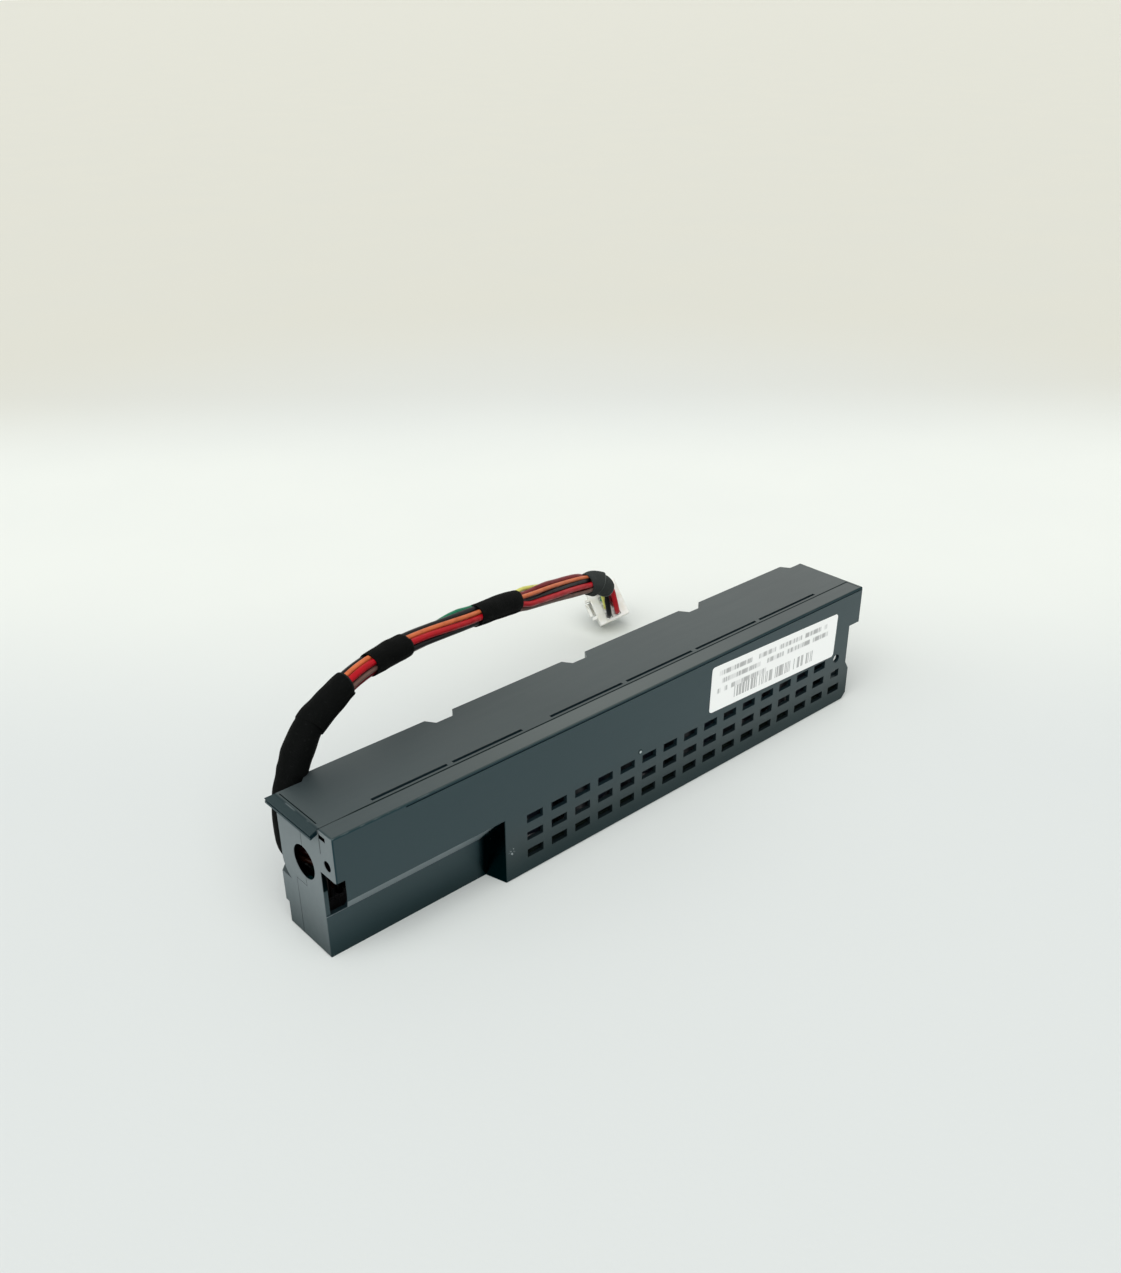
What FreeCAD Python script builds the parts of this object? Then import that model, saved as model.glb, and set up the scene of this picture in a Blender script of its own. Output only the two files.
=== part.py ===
import FreeCAD, Part
import math
import os

# Backup capacitor module of a server: a flat black case of two moulded shells, storage cells that stand in
# a row on a long board, and a short taped harness with a plug. Millimetres. The case is drawn from its front
# lower left corner: x along the front, y into the depth, z up. Everything is moved to the part's own origin,
# the middle of the case's underside, when it is written.

V = FreeCAD.Vector
ROOT_TWO = math.sqrt(2.0)

# Case
LENGTH = 190.8
DEPTH = 27.0
HEIGHT = 37.7
WALL = 1.2
EDGE_RADIUS = 0.5
OVER = 1.0
SEAM_GAP = 0.2

# Parting line between the shells
TOP_SEAM = 5.4
END_SEAM_UPPER = 13.65
END_SEAM_LOWER = 18.1
END_SEAM_STEP = 17.0
POCKET_SEAM = 0.3

# Recess at the lower left of the front, with a 45 degree slope at its top
RECESS_LENGTH = 48.4
RECESS_DEPTH = 6.5
RECESS_TOP = 19.4
RECESS_SLOPE_HEIGHT = 7.5
RECESS_DRAFT = 1.8

# Relief where the recess meets the left end
RELIEF_LENGTH = 2.4
RELIEF_SLOPE_LENGTH = 5.8
RELIEF_LOW = 12.2
RELIEF_HIGH = 25.5

# Right end: upper block, latch pocket behind a flap, shorter lower block
POCKET_LENGTH = 12.8
POCKET_LOW = 10.8
POCKET_HIGH = 26.0
FLAP_SETBACK = 5.0
FLAP_LOW = 13.5
LOWER_SETBACK = 3.3
FOOT_CHAMFER = 2.0
LOCATING_HOLE_RADIUS = 1.4
LOCATING_HOLE_INSET = 10.1

# Rebates along the rear edge, for the hooks of a carrier
REBATE_DEPTH = 3.0
REBATE_BOTTOM = 5.2
REBATE_FLARE = 2.0
REBATE_HEIGHT = 6.4
REBATE_PITCH = 46.3
REBATE_COUNT = 3
END_REBATE = 5.3

# Cable corner at the rear of the left end
CHANNEL_WIDTH = 7.4
CHANNEL_FLARE = 2.8
CHANNEL_LOW = 15.0
CHANNEL_SWEEP = 3.2
CHANNEL_SWEEP_HEIGHT = 4.5
CHANNEL_SWEEP_BULGE = 0.6
CABLE_OPENING_WIDTH = 8.5
CABLE_OPENING_MARGIN = 1.2
REAR_CORNER_CHAMFER = 1.7

# Left end wall
END_HOLE_RADIUS = 4.5
END_HOLE_Z = 24.1
SMALL_HOLE_RADIUS = 1.4
SMALL_HOLE_Y = 3.0
SMALL_HOLE_Z = 28.8
SLIT_LENGTH = 5.5
SLIT_WIDTH = 0.3
CORNER_GAP_WIDTH = 2.6
CORNER_GAP_HEIGHT = 1.3

# Lip along the top of the left end
LIP_REACH = 2.5
LIP_THICKNESS = 1.3
LIP_FRONT = 4.5
LIP_SEAM_TOP = 0.3
LIP_SEAM_HEIGHT = 0.4
LIP_SEAM_DEPTH = 0.6
LIP_GROOVE_WIDTH = 0.35
LIP_GROOVE_DEPTH = 0.5
LIP_GROOVE_X = 0.75
LIP_GROOVE_INSET = 1.8
LIP_GROOVE_END = 0.8

# Snap slots in the top: a pair at the left, then a row of longer ones, each over a tongue of the front shell
SLOT_WIDTH = 0.9
SLOT_Y = 6.9
SLOT_END_MARGIN = 15.2
SHORT_SLOT_LENGTH = 21.7
SHORT_SLOT_COUNT = 2
LONG_SLOT_LENGTH = 25.3
SLOT_BRIDGE = 1.6
SLOT_GROUP_GAP = 9.0
TONGUE_THICKNESS = 1.1
TONGUE_REACH = 3.0
TONGUE_ROOT = 1.4
TONGUE_MARGIN = 0.8
RIDGE_HEIGHT = 0.6
RIDGE_CLEARANCE = 0.2

# Seam along the top of the front face
FRONT_SEAM_START = 20.0
FRONT_SEAM_HEIGHT = 0.35
FRONT_SEAM_DEPTH = 0.5

# Vent grid in the front face
VENT_ROWS = 3
VENT_MARGIN = 6.5
VENT_PITCH_X = 8.18
VENT_FIRST_Z = 5.85
VENT_PITCH_Z = 5.3
VENT_WIDTH = 5.3
VENT_HEIGHT = 2.5
NARROW_VENT_WIDTH = 3.8

# Label
LABEL_WIDTH = 56.2
LABEL_HEIGHT = 14.3
LABEL_THICKNESS = 0.12
LABEL_RIGHT_MARGIN = 11.9
LABEL_TOP_MARGIN = 4.25
LABEL_TILT = 2.05
LABEL_CORNER = 1.0

# Board, its bosses and screws
BOARD_THICKNESS = 1.6
BOSS_HEIGHT = 2.0
BOSS_RADIUS = 2.5
BOARD_LEFT = 3.0
BOARD_MARGIN = 0.5
BOARD_REAR_GAP = 0.4
SCREW_RADIUS = 1.1
SCREW_CLEARANCE = 0.08
SCREW_HEAD_RADIUS = 2.1
SCREW_HEAD_HEIGHT = 1.4
SCREW_HEAD_CHAMFER = 0.5
SCREW_LENGTH = 3.9
SCREW_POCKET_FLOOR = 0.6
LEFT_SCREWS_X = (13.4, 45.2)

# Storage cells
CELL_SPACING = 1.0
CELL_FRONT_CLEARANCE = 1.0
CELL_REAR_CLEARANCE = 0.6
CELL_WALL_CLEARANCE = 0.3
CELL_GROOVE_HEIGHT = 3.6
CELL_GROOVE_DEPTH = 0.7
CELL_EDGE = 0.9
CELL_TOP_RECESS = 0.4
LEAD_RADIUS = 0.5
LEAD_SPACING = 7.5
LEAD_STUB = 1.0
LEAD_CLEARANCE = 0.15
FOAM_THICKNESS = 2.0
FOAM_FRONT_GAP = 0.8
FOAM_REAR_GAP = 1.3

# Parts of the charging circuit
PARTS_MARGIN = 0.3
INDUCTOR_WIDTH = 10.0
INDUCTOR_HEIGHT = 6.0
INDUCTOR_CORNER = 2.0
INDUCTOR_RING_RADIUS = 4.2
INDUCTOR_RING_WIDTH = 1.0
INDUCTOR_RING_DEPTH = 0.6
INDUCTOR_X = 31.5
FILTER_RADIUS = 3.15
FILTER_HEIGHT = 11.0
FILTER_GROOVE_HEIGHT = 2.4
FILTER_GROOVE_DEPTH = 0.3
FILTER_EDGE = 0.35
FILTER_TOP_RECESS = 0.15
FILTERS_X = (13.4, 45.2)
SWITCH_LENGTH = 4.6
SWITCH_WIDTH = 4.0
SWITCH_HEIGHT = 1.1
OUTPUT_SWITCH_X = 39.4
CHIP_WIDTH = 6.0
CHIP_HEIGHT = 0.9
CHIP_X = 22.0
CHIP_DOT_RADIUS = 0.5
CHIP_DOT_DEPTH = 0.1
PACKAGE_CHAMFER = 0.2

# Header that the harness is crimped into
HEADER_WIDTH = 6.2
HEADER_LENGTH = 10.4
HEADER_HEIGHT = 7.0
HEADER_X = 6.3
HEADER_MARGIN = 0.7
HEADER_KEY = 0.8
HEADER_KEY_LOW = 2.4

# Harness: its route as offsets from the middle of the header's top, in the part's axes
BUNDLE_RADIUS = 2.6
ROUTE = (
    (0.0, 0.0, 0.0),
    (0.0, 0.0, 4.1),
    (-0.1, 2.3, 7.3),
    (-0.6, 6.5, 8.8),
    (-1.5, 10.0, 11.4),
    (-1.9, 11.3, 15.5),
    (-1.8, 11.7, 20.0),
    (-0.3, 12.5, 24.6),
    (3.6, 12.9, 30.2),
    (8.4, 14.6, 35.3),
    (15.3, 16.5, 37.7),
    (24.3, 19.6, 40.1),
    (35.2, 23.4, 39.9),
    (48.7, 28.1, 38.3),
    (66.7, 33.6, 35.0),
    (86.7, 40.8, 30.8),
    (106.7, 47.4, 25.8),
    (126.7, 54.5, 19.4),
    (142.2, 59.3, 14.8),
    (151.1, 62.1, 10.2),
    (153.9, 63.7, 2.75),
    (156.5, 66.7, 0.55),
)
ARC_SHARE = 0.45

# Tape: each wrap's start and end along the harness, and its outer radius
TAPE_WRAPS = (
    (10.6, 43.6, 3.1),
    (43.7, 56.7, 3.2),
    (67.6, 82.2, 3.2),
    (115.8, 137.8, 3.2),
    (182.7, 197.7, 3.7),
)
TAPE_CLEARANCE = 0.05

# Plug: the way its wires leave, and the way across its two rows
WIRE_SIDE = V(-0.573, -0.660, 0.482)
ACROSS_ROWS = V(0.818, -0.449, 0.358)
PLUG_WIDTH = 10.8
PLUG_LENGTH = 13.4
PLUG_DEPTH = 11.0
PLUG_PITCH = 3.0
PLUG_COLUMNS = 4
PLUG_CAVITY = 2.2
PLUG_EDGE = 0.4
CONTACT_WIDTH = 1.9
CONTACT_LENGTH = 8.0
CONTACT_INSET = 1.5
LATCH_WIDTH = 4.6
LATCH_THICKNESS = 0.9
LATCH_STANDOFF = 1.0
LATCH_LENGTH = 8.0
FIN_THICKNESS = 1.0
FIN_HEIGHT = 1.6
FIN_LENGTH = 7.0

# Sizes that follow from those above
REAR_FACE = DEPTH - REBATE_DEPTH
BOARD_BOTTOM = WALL + BOSS_HEIGHT
BOARD_TOP = BOARD_BOTTOM + BOARD_THICKNESS
BOARD_REAR = REAR_FACE - WALL - BOARD_REAR_GAP
STRIP_FRONT = RECESS_DEPTH + WALL + BOARD_MARGIN
STRIP_MIDDLE = (STRIP_FRONT + BOARD_REAR) / 2
CELL_RADIUS = (REAR_FACE - CELL_REAR_CLEARANCE - CELL_FRONT_CLEARANCE - 2 * WALL) / 2
CELL_HEIGHT = HEIGHT - WALL - FOAM_THICKNESS - BOARD_TOP
HEADER_Y = BOARD_REAR - HEADER_MARGIN - HEADER_LENGTH / 2
HARNESS_START = V(HEADER_X, HEADER_Y, BOARD_TOP + HEADER_HEIGHT)


def box(low, high):
    size = V(*high) - V(*low)
    return Part.makeBox(size.x, size.y, size.z, V(*low))


def prism(points, axis, low, high):
    """A polygon in the two other axes, in x, y, z order, drawn out along one axis from low to high."""
    place = {
        "x": lambda a, b: V(low, a, b),
        "y": lambda a, b: V(a, low, b),
        "z": lambda a, b: V(a, b, low),
    }[axis]
    reach = {"x": V(high - low, 0, 0), "y": V(0, high - low, 0), "z": V(0, 0, high - low)}[axis]
    corners = [place(a, b) for a, b in points]
    return Part.Face(Part.makePolygon(corners + corners[:1])).extrude(reach)


def rounded_post(radius, height, foot):
    return Part.makeCylinder(radius, height, V(*foot))


def recess(grow):
    """The space in front of the recess, grown by a wall's thickness for the cavity behind it."""
    floor = RECESS_DEPTH + grow
    steep = RECESS_SLOPE_HEIGHT / RECESS_DEPTH
    slope = RECESS_TOP + grow * math.hypot(1.0, steep)
    wall = RECESS_LENGTH + grow
    lean = RECESS_DRAFT / RECESS_DEPTH
    section = prism(
        [(-OVER, -OVER), (floor, -OVER), (floor, slope - steep * floor), (-OVER, slope + steep * OVER)],
        "x", -OVER, wall + lean * OVER)
    plan = prism(
        [(-OVER, -OVER), (wall + lean * OVER, -OVER), (wall - lean * floor, floor), (-OVER, floor)],
        "z", -OVER, HEIGHT)
    return section.common(plan)


def pocket(grow, front):
    return box((LENGTH - POCKET_LENGTH - grow, front, POCKET_LOW - grow),
               (LENGTH + OVER, DEPTH + OVER, POCKET_HIGH + grow))


def lower_end(grow):
    """What is missing beyond the lower block at the right end, with its chamfered foot."""
    end = LENGTH - LOWER_SETBACK - grow
    rise = FOOT_CHAMFER + grow * (ROOT_TWO - 1.0)
    return prism(
        [(LENGTH + OVER, POCKET_LOW), (end, POCKET_LOW), (end, rise), (end - rise - OVER, -OVER),
         (LENGTH + OVER, -OVER)],
        "y", -OVER, DEPTH + OVER)


def flap_end():
    """What is missing beyond the flap in front of the latch pocket."""
    flap = LENGTH - FLAP_SETBACK
    lower = LENGTH - LOWER_SETBACK
    return prism(
        [(LENGTH + OVER, POCKET_HIGH), (flap, POCKET_HIGH), (flap, FLAP_LOW), (lower, POCKET_LOW),
         (LENGTH + OVER, POCKET_LOW)],
        "y", -OVER, DEPTH + OVER)


def rebate_plan(left, right, flare, grow):
    """Outline of a rebate seen from above, flaring to the rear edge."""
    floor = REAR_FACE - grow
    spread = flare * (REBATE_DEPTH + OVER + grow) / REBATE_DEPTH
    return [(left - grow - spread, DEPTH + OVER), (left - grow, floor), (right + grow, floor),
            (right + grow + spread, DEPTH + OVER)]


def rear_cuts(grow):
    plans = []
    for index in range(REBATE_COUNT):
        middle = LENGTH / 2 + (index - (REBATE_COUNT - 1) / 2) * REBATE_PITCH
        plans.append(rebate_plan(middle - REBATE_BOTTOM / 2, middle + REBATE_BOTTOM / 2, REBATE_FLARE, grow))
    plans.append(rebate_plan(LENGTH - END_REBATE, LENGTH + OVER, REBATE_FLARE, grow))
    corner = rebate_plan(-OVER, CHANNEL_WIDTH, CHANNEL_FLARE, grow)
    cuts = [prism(corner, "z", CHANNEL_LOW - grow, HEIGHT + OVER)]
    for plan in plans:
        cuts.append(prism(plan, "z", HEIGHT - REBATE_HEIGHT - grow, HEIGHT + OVER))
    for plan in plans + [corner]:
        cuts.append(prism(plan, "z", -OVER, REBATE_HEIGHT + grow))
    return cuts + [rear_corner(grow)]


def rear_corner(grow):
    """What the chamfer under the cable corner takes off."""
    leg = REAR_CORNER_CHAMFER + grow * ROOT_TWO
    return prism(
        [(-OVER, DEPTH - leg - OVER), (leg + OVER, DEPTH + OVER), (-OVER, DEPTH + OVER)],
        "z", -OVER, CHANNEL_LOW)


def channel_sweep():
    """Curved cut in the left end wall, at the foot of the cable corner."""
    top = V(-OVER, REAR_FACE, CHANNEL_LOW + CHANNEL_SWEEP_HEIGHT)
    tip = V(-OVER, REAR_FACE - CHANNEL_SWEEP, CHANNEL_LOW)
    bulge = (top - tip).cross(V(1, 0, 0))
    bulge.normalize()
    middle = (top + tip) * 0.5 + bulge * CHANNEL_SWEEP_BULGE
    back = V(-OVER, REAR_FACE + OVER, CHANNEL_LOW)
    crown = V(-OVER, REAR_FACE + OVER, top.z)
    edges = [Part.Arc(top, middle, tip).toShape()]
    for start, end in ((tip, back), (back, crown), (crown, top)):
        edges.append(Part.LineSegment(start, end).toShape())
    return Part.Face(Part.Wire(edges)).extrude(V(OVER + WALL, 0, 0))


def slot_spans():
    """Left and right ends of the slots: as many long ones as fit between the pair and the right end."""
    short_step = SHORT_SLOT_LENGTH + SLOT_BRIDGE
    long_step = LONG_SLOT_LENGTH + SLOT_BRIDGE
    spans = []
    for index in range(SHORT_SLOT_COUNT):
        left = SLOT_END_MARGIN + index * short_step
        spans.append((left, left + SHORT_SLOT_LENGTH))
    room = LENGTH - SLOT_END_MARGIN - spans[-1][1] - SLOT_GROUP_GAP
    for index in range(int((room + SLOT_BRIDGE) // long_step)):
        right = LENGTH - SLOT_END_MARGIN - index * long_step
        spans.append((right - LONG_SLOT_LENGTH, right))
    return spans


def hollow_case():
    outer = Part.makeBox(LENGTH, DEPTH, HEIGHT)
    outer = outer.makeFillet(EDGE_RADIUS, outer.Edges)
    outer = outer.cut([recess(0.0), pocket(0.0, WALL), lower_end(0.0), flap_end()] + rear_cuts(0.0))
    cavity = box((WALL, WALL, WALL), (LENGTH - WALL, DEPTH - WALL, HEIGHT - WALL))
    cavity = cavity.cut([recess(WALL), pocket(WALL, -OVER), lower_end(WALL)] + rear_cuts(WALL))
    return outer.cut(cavity)


def front_space(gap):
    """The space that belongs to the front shell, grown by the gap along the parting line."""
    under_top = HEIGHT - WALL - SEAM_GAP + gap
    stop = LENGTH - POCKET_LENGTH - WALL - POCKET_SEAM
    section = prism(
        [(-OVER, -OVER), (END_SEAM_LOWER + gap, -OVER), (END_SEAM_LOWER + gap, END_SEAM_STEP + gap),
         (END_SEAM_UPPER + gap, END_SEAM_STEP + gap), (END_SEAM_UPPER + gap, under_top),
         (TOP_SEAM + gap, under_top), (TOP_SEAM + gap, HEIGHT + OVER), (-OVER, HEIGHT + OVER)],
        "x", -OVER, stop + gap)
    face = box((-OVER, -OVER, -OVER), (LENGTH + OVER, WALL + gap, HEIGHT + OVER))
    strip = box((stop, -OVER, under_top), (LENGTH - WALL + gap, TOP_SEAM + gap, HEIGHT + OVER))
    sole = box((stop, -OVER, -OVER), (LENGTH - LOWER_SETBACK - WALL + gap, END_SEAM_LOWER + gap, WALL + gap))
    return section.fuse([face, strip, sole])


def vents():
    """Columns counted from the right end: there the top window gives way to the locating hole."""
    room = LENGTH - LOCATING_HOLE_INSET - VENT_WIDTH / 2 - RECESS_LENGTH - VENT_MARGIN
    windows = []
    for row in range(VENT_ROWS):
        for column in range(int(room // VENT_PITCH_X) + 1):
            if column == 0 and row == VENT_ROWS - 1:
                continue
            width = NARROW_VENT_WIDTH if column == 0 and row == VENT_ROWS - 2 else VENT_WIDTH
            x = LENGTH - LOCATING_HOLE_INSET - column * VENT_PITCH_X
            z = VENT_FIRST_Z + row * VENT_PITCH_Z
            windows.append(box((x - width / 2, -OVER, z - VENT_HEIGHT / 2),
                               (x + width / 2, WALL + OVER, z + VENT_HEIGHT / 2)))
    return windows


def locating_hole():
    x = LENGTH - LOCATING_HOLE_INSET
    z = VENT_FIRST_Z + (VENT_ROWS - 1) * VENT_PITCH_Z
    return Part.makeCylinder(LOCATING_HOLE_RADIUS, WALL + 2 * OVER, V(x, -OVER, z), V(0, 1, 0))


def end_wall_hole(radius, y, z):
    return Part.makeCylinder(radius, WALL + 2 * OVER, V(-OVER, y, z), V(1, 0, 0))


def end_relief():
    floor = RECESS_DEPTH + WALL
    return prism(
        [(-OVER, -OVER), (RELIEF_LENGTH, -OVER), (RELIEF_LENGTH, 0.0), (RELIEF_SLOPE_LENGTH, RECESS_DEPTH),
         (RELIEF_SLOPE_LENGTH, floor + SEAM_GAP), (WALL, floor + SEAM_GAP), (WALL, RECESS_DEPTH),
         (-OVER, RECESS_DEPTH)],
        "z", RELIEF_LOW, RELIEF_HIGH)


def snap_tongues():
    top = HEIGHT - WALL - SEAM_GAP
    tongues = []
    for left, right in slot_spans():
        start = left - TONGUE_MARGIN
        end = right + TONGUE_MARGIN
        tongues.append(box((start, TOP_SEAM - TONGUE_ROOT, top - TONGUE_THICKNESS),
                           (end, TOP_SEAM + TONGUE_REACH, top)))
        tongues.append(box((start, TOP_SEAM - TONGUE_ROOT, top - TONGUE_THICKNESS),
                           (end, TOP_SEAM, top + WALL / 2)))
        half_ridge = SLOT_WIDTH / 2 - RIDGE_CLEARANCE
        tongues.append(box((left + RIDGE_CLEARANCE, SLOT_Y - half_ridge, top - TONGUE_THICKNESS),
                           (right - RIDGE_CLEARANCE, SLOT_Y + half_ridge, top + RIDGE_HEIGHT)))
    return tongues


def cell_places():
    """As many cells in a row as fit between the recess and the latch pocket."""
    pitch = 2 * CELL_RADIUS + CELL_SPACING
    right = LENGTH - POCKET_LENGTH - WALL - CELL_WALL_CLEARANCE
    left = RECESS_LENGTH + WALL + CELL_WALL_CLEARANCE
    count = int((right - left + CELL_SPACING) // pitch)
    y = REAR_FACE - WALL - CELL_REAR_CLEARANCE - CELL_RADIUS
    return [(right - CELL_RADIUS - (count - 1 - index) * pitch, y) for index in range(count)]


def screw_places():
    """Two screws beside the circuit, and two in the front corners between neighbouring cells."""
    places = [(x, STRIP_FRONT + BOSS_RADIUS) for x in LEFT_SCREWS_X]
    cells = cell_places()
    for index in (0, len(cells) - 2):
        middle = (cells[index][0] + cells[index + 1][0]) / 2
        places.append((middle, WALL + BOARD_MARGIN + BOSS_RADIUS))
    return places


def front_shell(case):
    shell = case.common(front_space(0.0))
    bosses = [rounded_post(BOSS_RADIUS, BOSS_HEIGHT + WALL / 2, (x, y, WALL / 2)) for x, y in screw_places()]
    shell = shell.fuse(snap_tongues() + bosses)
    pilots = [rounded_post(SCREW_RADIUS + SCREW_CLEARANCE, BOARD_TOP, (x, y, SCREW_POCKET_FLOOR))
              for x, y in screw_places()]
    slit = box((-OVER, TOP_SEAM - SLIT_WIDTH / 2, HEIGHT - WALL - SLIT_LENGTH),
               (WALL, TOP_SEAM + SLIT_WIDTH / 2, HEIGHT - WALL))
    corner = box((-OVER, TOP_SEAM - CORNER_GAP_WIDTH, HEIGHT - WALL - CORNER_GAP_HEIGHT),
                 (WALL, TOP_SEAM, HEIGHT - WALL))
    holes = [end_wall_hole(END_HOLE_RADIUS, END_SEAM_UPPER, END_HOLE_Z),
             end_wall_hole(SMALL_HOLE_RADIUS, SMALL_HOLE_Y, SMALL_HOLE_Z), locating_hole()]
    seam_top = HEIGHT - EDGE_RADIUS
    seam = box((FRONT_SEAM_START, -OVER, seam_top - FRONT_SEAM_HEIGHT),
               (LENGTH + OVER, FRONT_SEAM_DEPTH, seam_top))
    return shell.cut(vents() + pilots + holes + [slit, corner, seam, end_relief()]).removeSplitter()


def rear_shell(case):
    shell = case.cut(front_space(SEAM_GAP))
    edge = TOP_SEAM + SEAM_GAP
    lip = prism(
        [(-LIP_REACH, LIP_FRONT), (-SEAM_GAP, TOP_SEAM), (-SEAM_GAP, edge), (WALL, edge),
         (WALL, REAR_FACE - WALL), (-SEAM_GAP, REAR_FACE), (-LIP_REACH, REAR_FACE)],
        "z", HEIGHT - LIP_THICKNESS, HEIGHT)
    shell = shell.fuse(lip)
    slots = [box((left, SLOT_Y - SLOT_WIDTH / 2, HEIGHT - WALL - OVER),
                 (right, SLOT_Y + SLOT_WIDTH / 2, HEIGHT + OVER)) for left, right in slot_spans()]
    groove = box((LIP_GROOVE_X, edge + LIP_GROOVE_INSET, HEIGHT - LIP_GROOVE_DEPTH),
                 (LIP_GROOVE_X + LIP_GROOVE_WIDTH, REAR_FACE - LIP_GROOVE_END, HEIGHT + OVER))
    seam_top = HEIGHT - LIP_SEAM_TOP
    seam = box((-LIP_REACH - OVER, LIP_FRONT - OVER, seam_top - LIP_SEAM_HEIGHT),
               (LIP_SEAM_DEPTH - LIP_REACH, REAR_FACE + OVER, seam_top))
    opening = box((CABLE_OPENING_MARGIN, END_SEAM_LOWER + WALL, CHANNEL_LOW + CABLE_OPENING_MARGIN),
                  (CABLE_OPENING_MARGIN + CABLE_OPENING_WIDTH, DEPTH + OVER, HEIGHT - WALL))
    hole = end_wall_hole(END_HOLE_RADIUS, END_SEAM_UPPER, END_HOLE_Z)
    return shell.cut(slots + [groove, seam, opening, hole, channel_sweep()]).removeSplitter()


def label():
    half_width = LABEL_WIDTH / 2
    half_height = LABEL_HEIGHT / 2
    sheet = box((-half_width, -LABEL_THICKNESS, -half_height), (half_width, 0.0, half_height))
    corners = [edge for edge in sheet.Edges if abs(edge.tangentAt(edge.FirstParameter).y) > 0.9]
    sheet = sheet.makeFillet(LABEL_CORNER, corners)
    sheet.rotate(V(0, 0, 0), V(0, 1, 0), LABEL_TILT)
    sheet.translate(V(LENGTH - LABEL_RIGHT_MARGIN - half_width, 0, HEIGHT - LABEL_TOP_MARGIN - half_height))
    return sheet


def lead_places():
    return [(x + side * LEAD_SPACING / 2, y) for x, y in cell_places() for side in (-1, 1)]


def control_board():
    """L-shaped outline: narrow behind the recess, full depth under the cells."""
    step = RECESS_LENGTH + WALL + BOARD_MARGIN
    right = LENGTH - LOWER_SETBACK - WALL - BOARD_MARGIN
    board = prism(
        [(BOARD_LEFT, STRIP_FRONT), (step, STRIP_FRONT), (step, WALL + BOARD_MARGIN),
         (right, WALL + BOARD_MARGIN), (right, BOARD_REAR), (BOARD_LEFT, BOARD_REAR)],
        "z", BOARD_BOTTOM, BOARD_TOP)
    drills = [rounded_post(SCREW_RADIUS + SCREW_CLEARANCE, HEIGHT, (x, y, 0)) for x, y in screw_places()]
    drills += [rounded_post(LEAD_RADIUS + LEAD_CLEARANCE, HEIGHT, (x, y, 0)) for x, y in lead_places()]
    return board.cut(drills)


def board_screws():
    screws = []
    for x, y in screw_places():
        head = rounded_post(SCREW_HEAD_RADIUS, SCREW_HEAD_HEIGHT, (x, y, BOARD_TOP))
        shank = rounded_post(SCREW_RADIUS, SCREW_LENGTH, (x, y, BOARD_TOP - SCREW_LENGTH))
        screw = head.fuse(shank)
        rim = [edge for edge in screw.Edges if edge.BoundBox.ZMin > BOARD_TOP + SCREW_HEAD_HEIGHT / 2]
        screws.append(screw.makeChamfer(SCREW_HEAD_CHAMFER, rim))
    return Part.makeCompound(screws)


def can(radius, height, groove_height, groove_depth, edge, recess_depth):
    """A drawn can, turned about its axis: a crimp groove above its foot, a rolled edge and a sunken top."""
    inner = radius - groove_depth
    rim = radius - 2 * edge
    sunk = height - recess_depth
    outline = [(0, 0), (radius, 0), (radius, groove_height - groove_depth), (inner, groove_height),
               (radius, groove_height + groove_depth), (radius, height - edge), (radius - edge, height),
               (rim, height), (rim, sunk), (0, sunk), (0, 0)]
    section = Part.Face(Part.makePolygon([V(r, 0, z) for r, z in outline]))
    return section.revolve(V(0, 0, 0), V(0, 0, 1), 360)


def capacitor_cell(x, y):
    cell = can(CELL_RADIUS, CELL_HEIGHT, CELL_GROOVE_HEIGHT, CELL_GROOVE_DEPTH, CELL_EDGE, CELL_TOP_RECESS)
    length = BOARD_THICKNESS + LEAD_STUB
    leads = [rounded_post(LEAD_RADIUS, length + OVER, (side * LEAD_SPACING / 2, 0, -length))
             for side in (-1, 1)]
    cell = cell.fuse(leads)
    cell.translate(V(x, y, BOARD_TOP))
    return cell


def filter_capacitor(x):
    part = can(FILTER_RADIUS, FILTER_HEIGHT, FILTER_GROOVE_HEIGHT, FILTER_GROOVE_DEPTH, FILTER_EDGE,
               FILTER_TOP_RECESS)
    part.translate(V(x, BOARD_REAR - PARTS_MARGIN - FILTER_RADIUS, BOARD_TOP))
    return part


def foam_pad():
    cells = cell_places()
    front = TOP_SEAM + TONGUE_REACH + FOAM_FRONT_GAP
    return box((cells[0][0] - CELL_RADIUS, front, BOARD_TOP + CELL_HEIGHT),
               (cells[-1][0] + CELL_RADIUS, REAR_FACE - WALL - FOAM_REAR_GAP, HEIGHT - WALL))


def package(length, width, height, x, y):
    """A flat moulded package with a chamfered top, standing on the board."""
    body = box((x - length / 2, y - width / 2, BOARD_TOP),
               (x + length / 2, y + width / 2, BOARD_TOP + height))
    top = [edge for edge in body.Edges if edge.BoundBox.ZMin > BOARD_TOP + height / 2]
    return body.makeChamfer(PACKAGE_CHAMFER, top)


def charge_inductor():
    half = INDUCTOR_WIDTH / 2
    cut = half - INDUCTOR_CORNER
    core = prism(
        [(-half, -cut), (-cut, -half), (cut, -half), (half, -cut), (half, cut), (cut, half), (-cut, half),
         (-half, cut)],
        "z", 0, INDUCTOR_HEIGHT)
    sunk = INDUCTOR_HEIGHT - INDUCTOR_RING_DEPTH
    ring = rounded_post(INDUCTOR_RING_RADIUS, INDUCTOR_RING_DEPTH, (0, 0, sunk))
    pole = rounded_post(INDUCTOR_RING_RADIUS - INDUCTOR_RING_WIDTH, INDUCTOR_RING_DEPTH, (0, 0, sunk))
    core = core.cut(ring.cut(pole))
    core.translate(V(INDUCTOR_X, STRIP_MIDDLE, BOARD_TOP))
    return core


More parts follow.
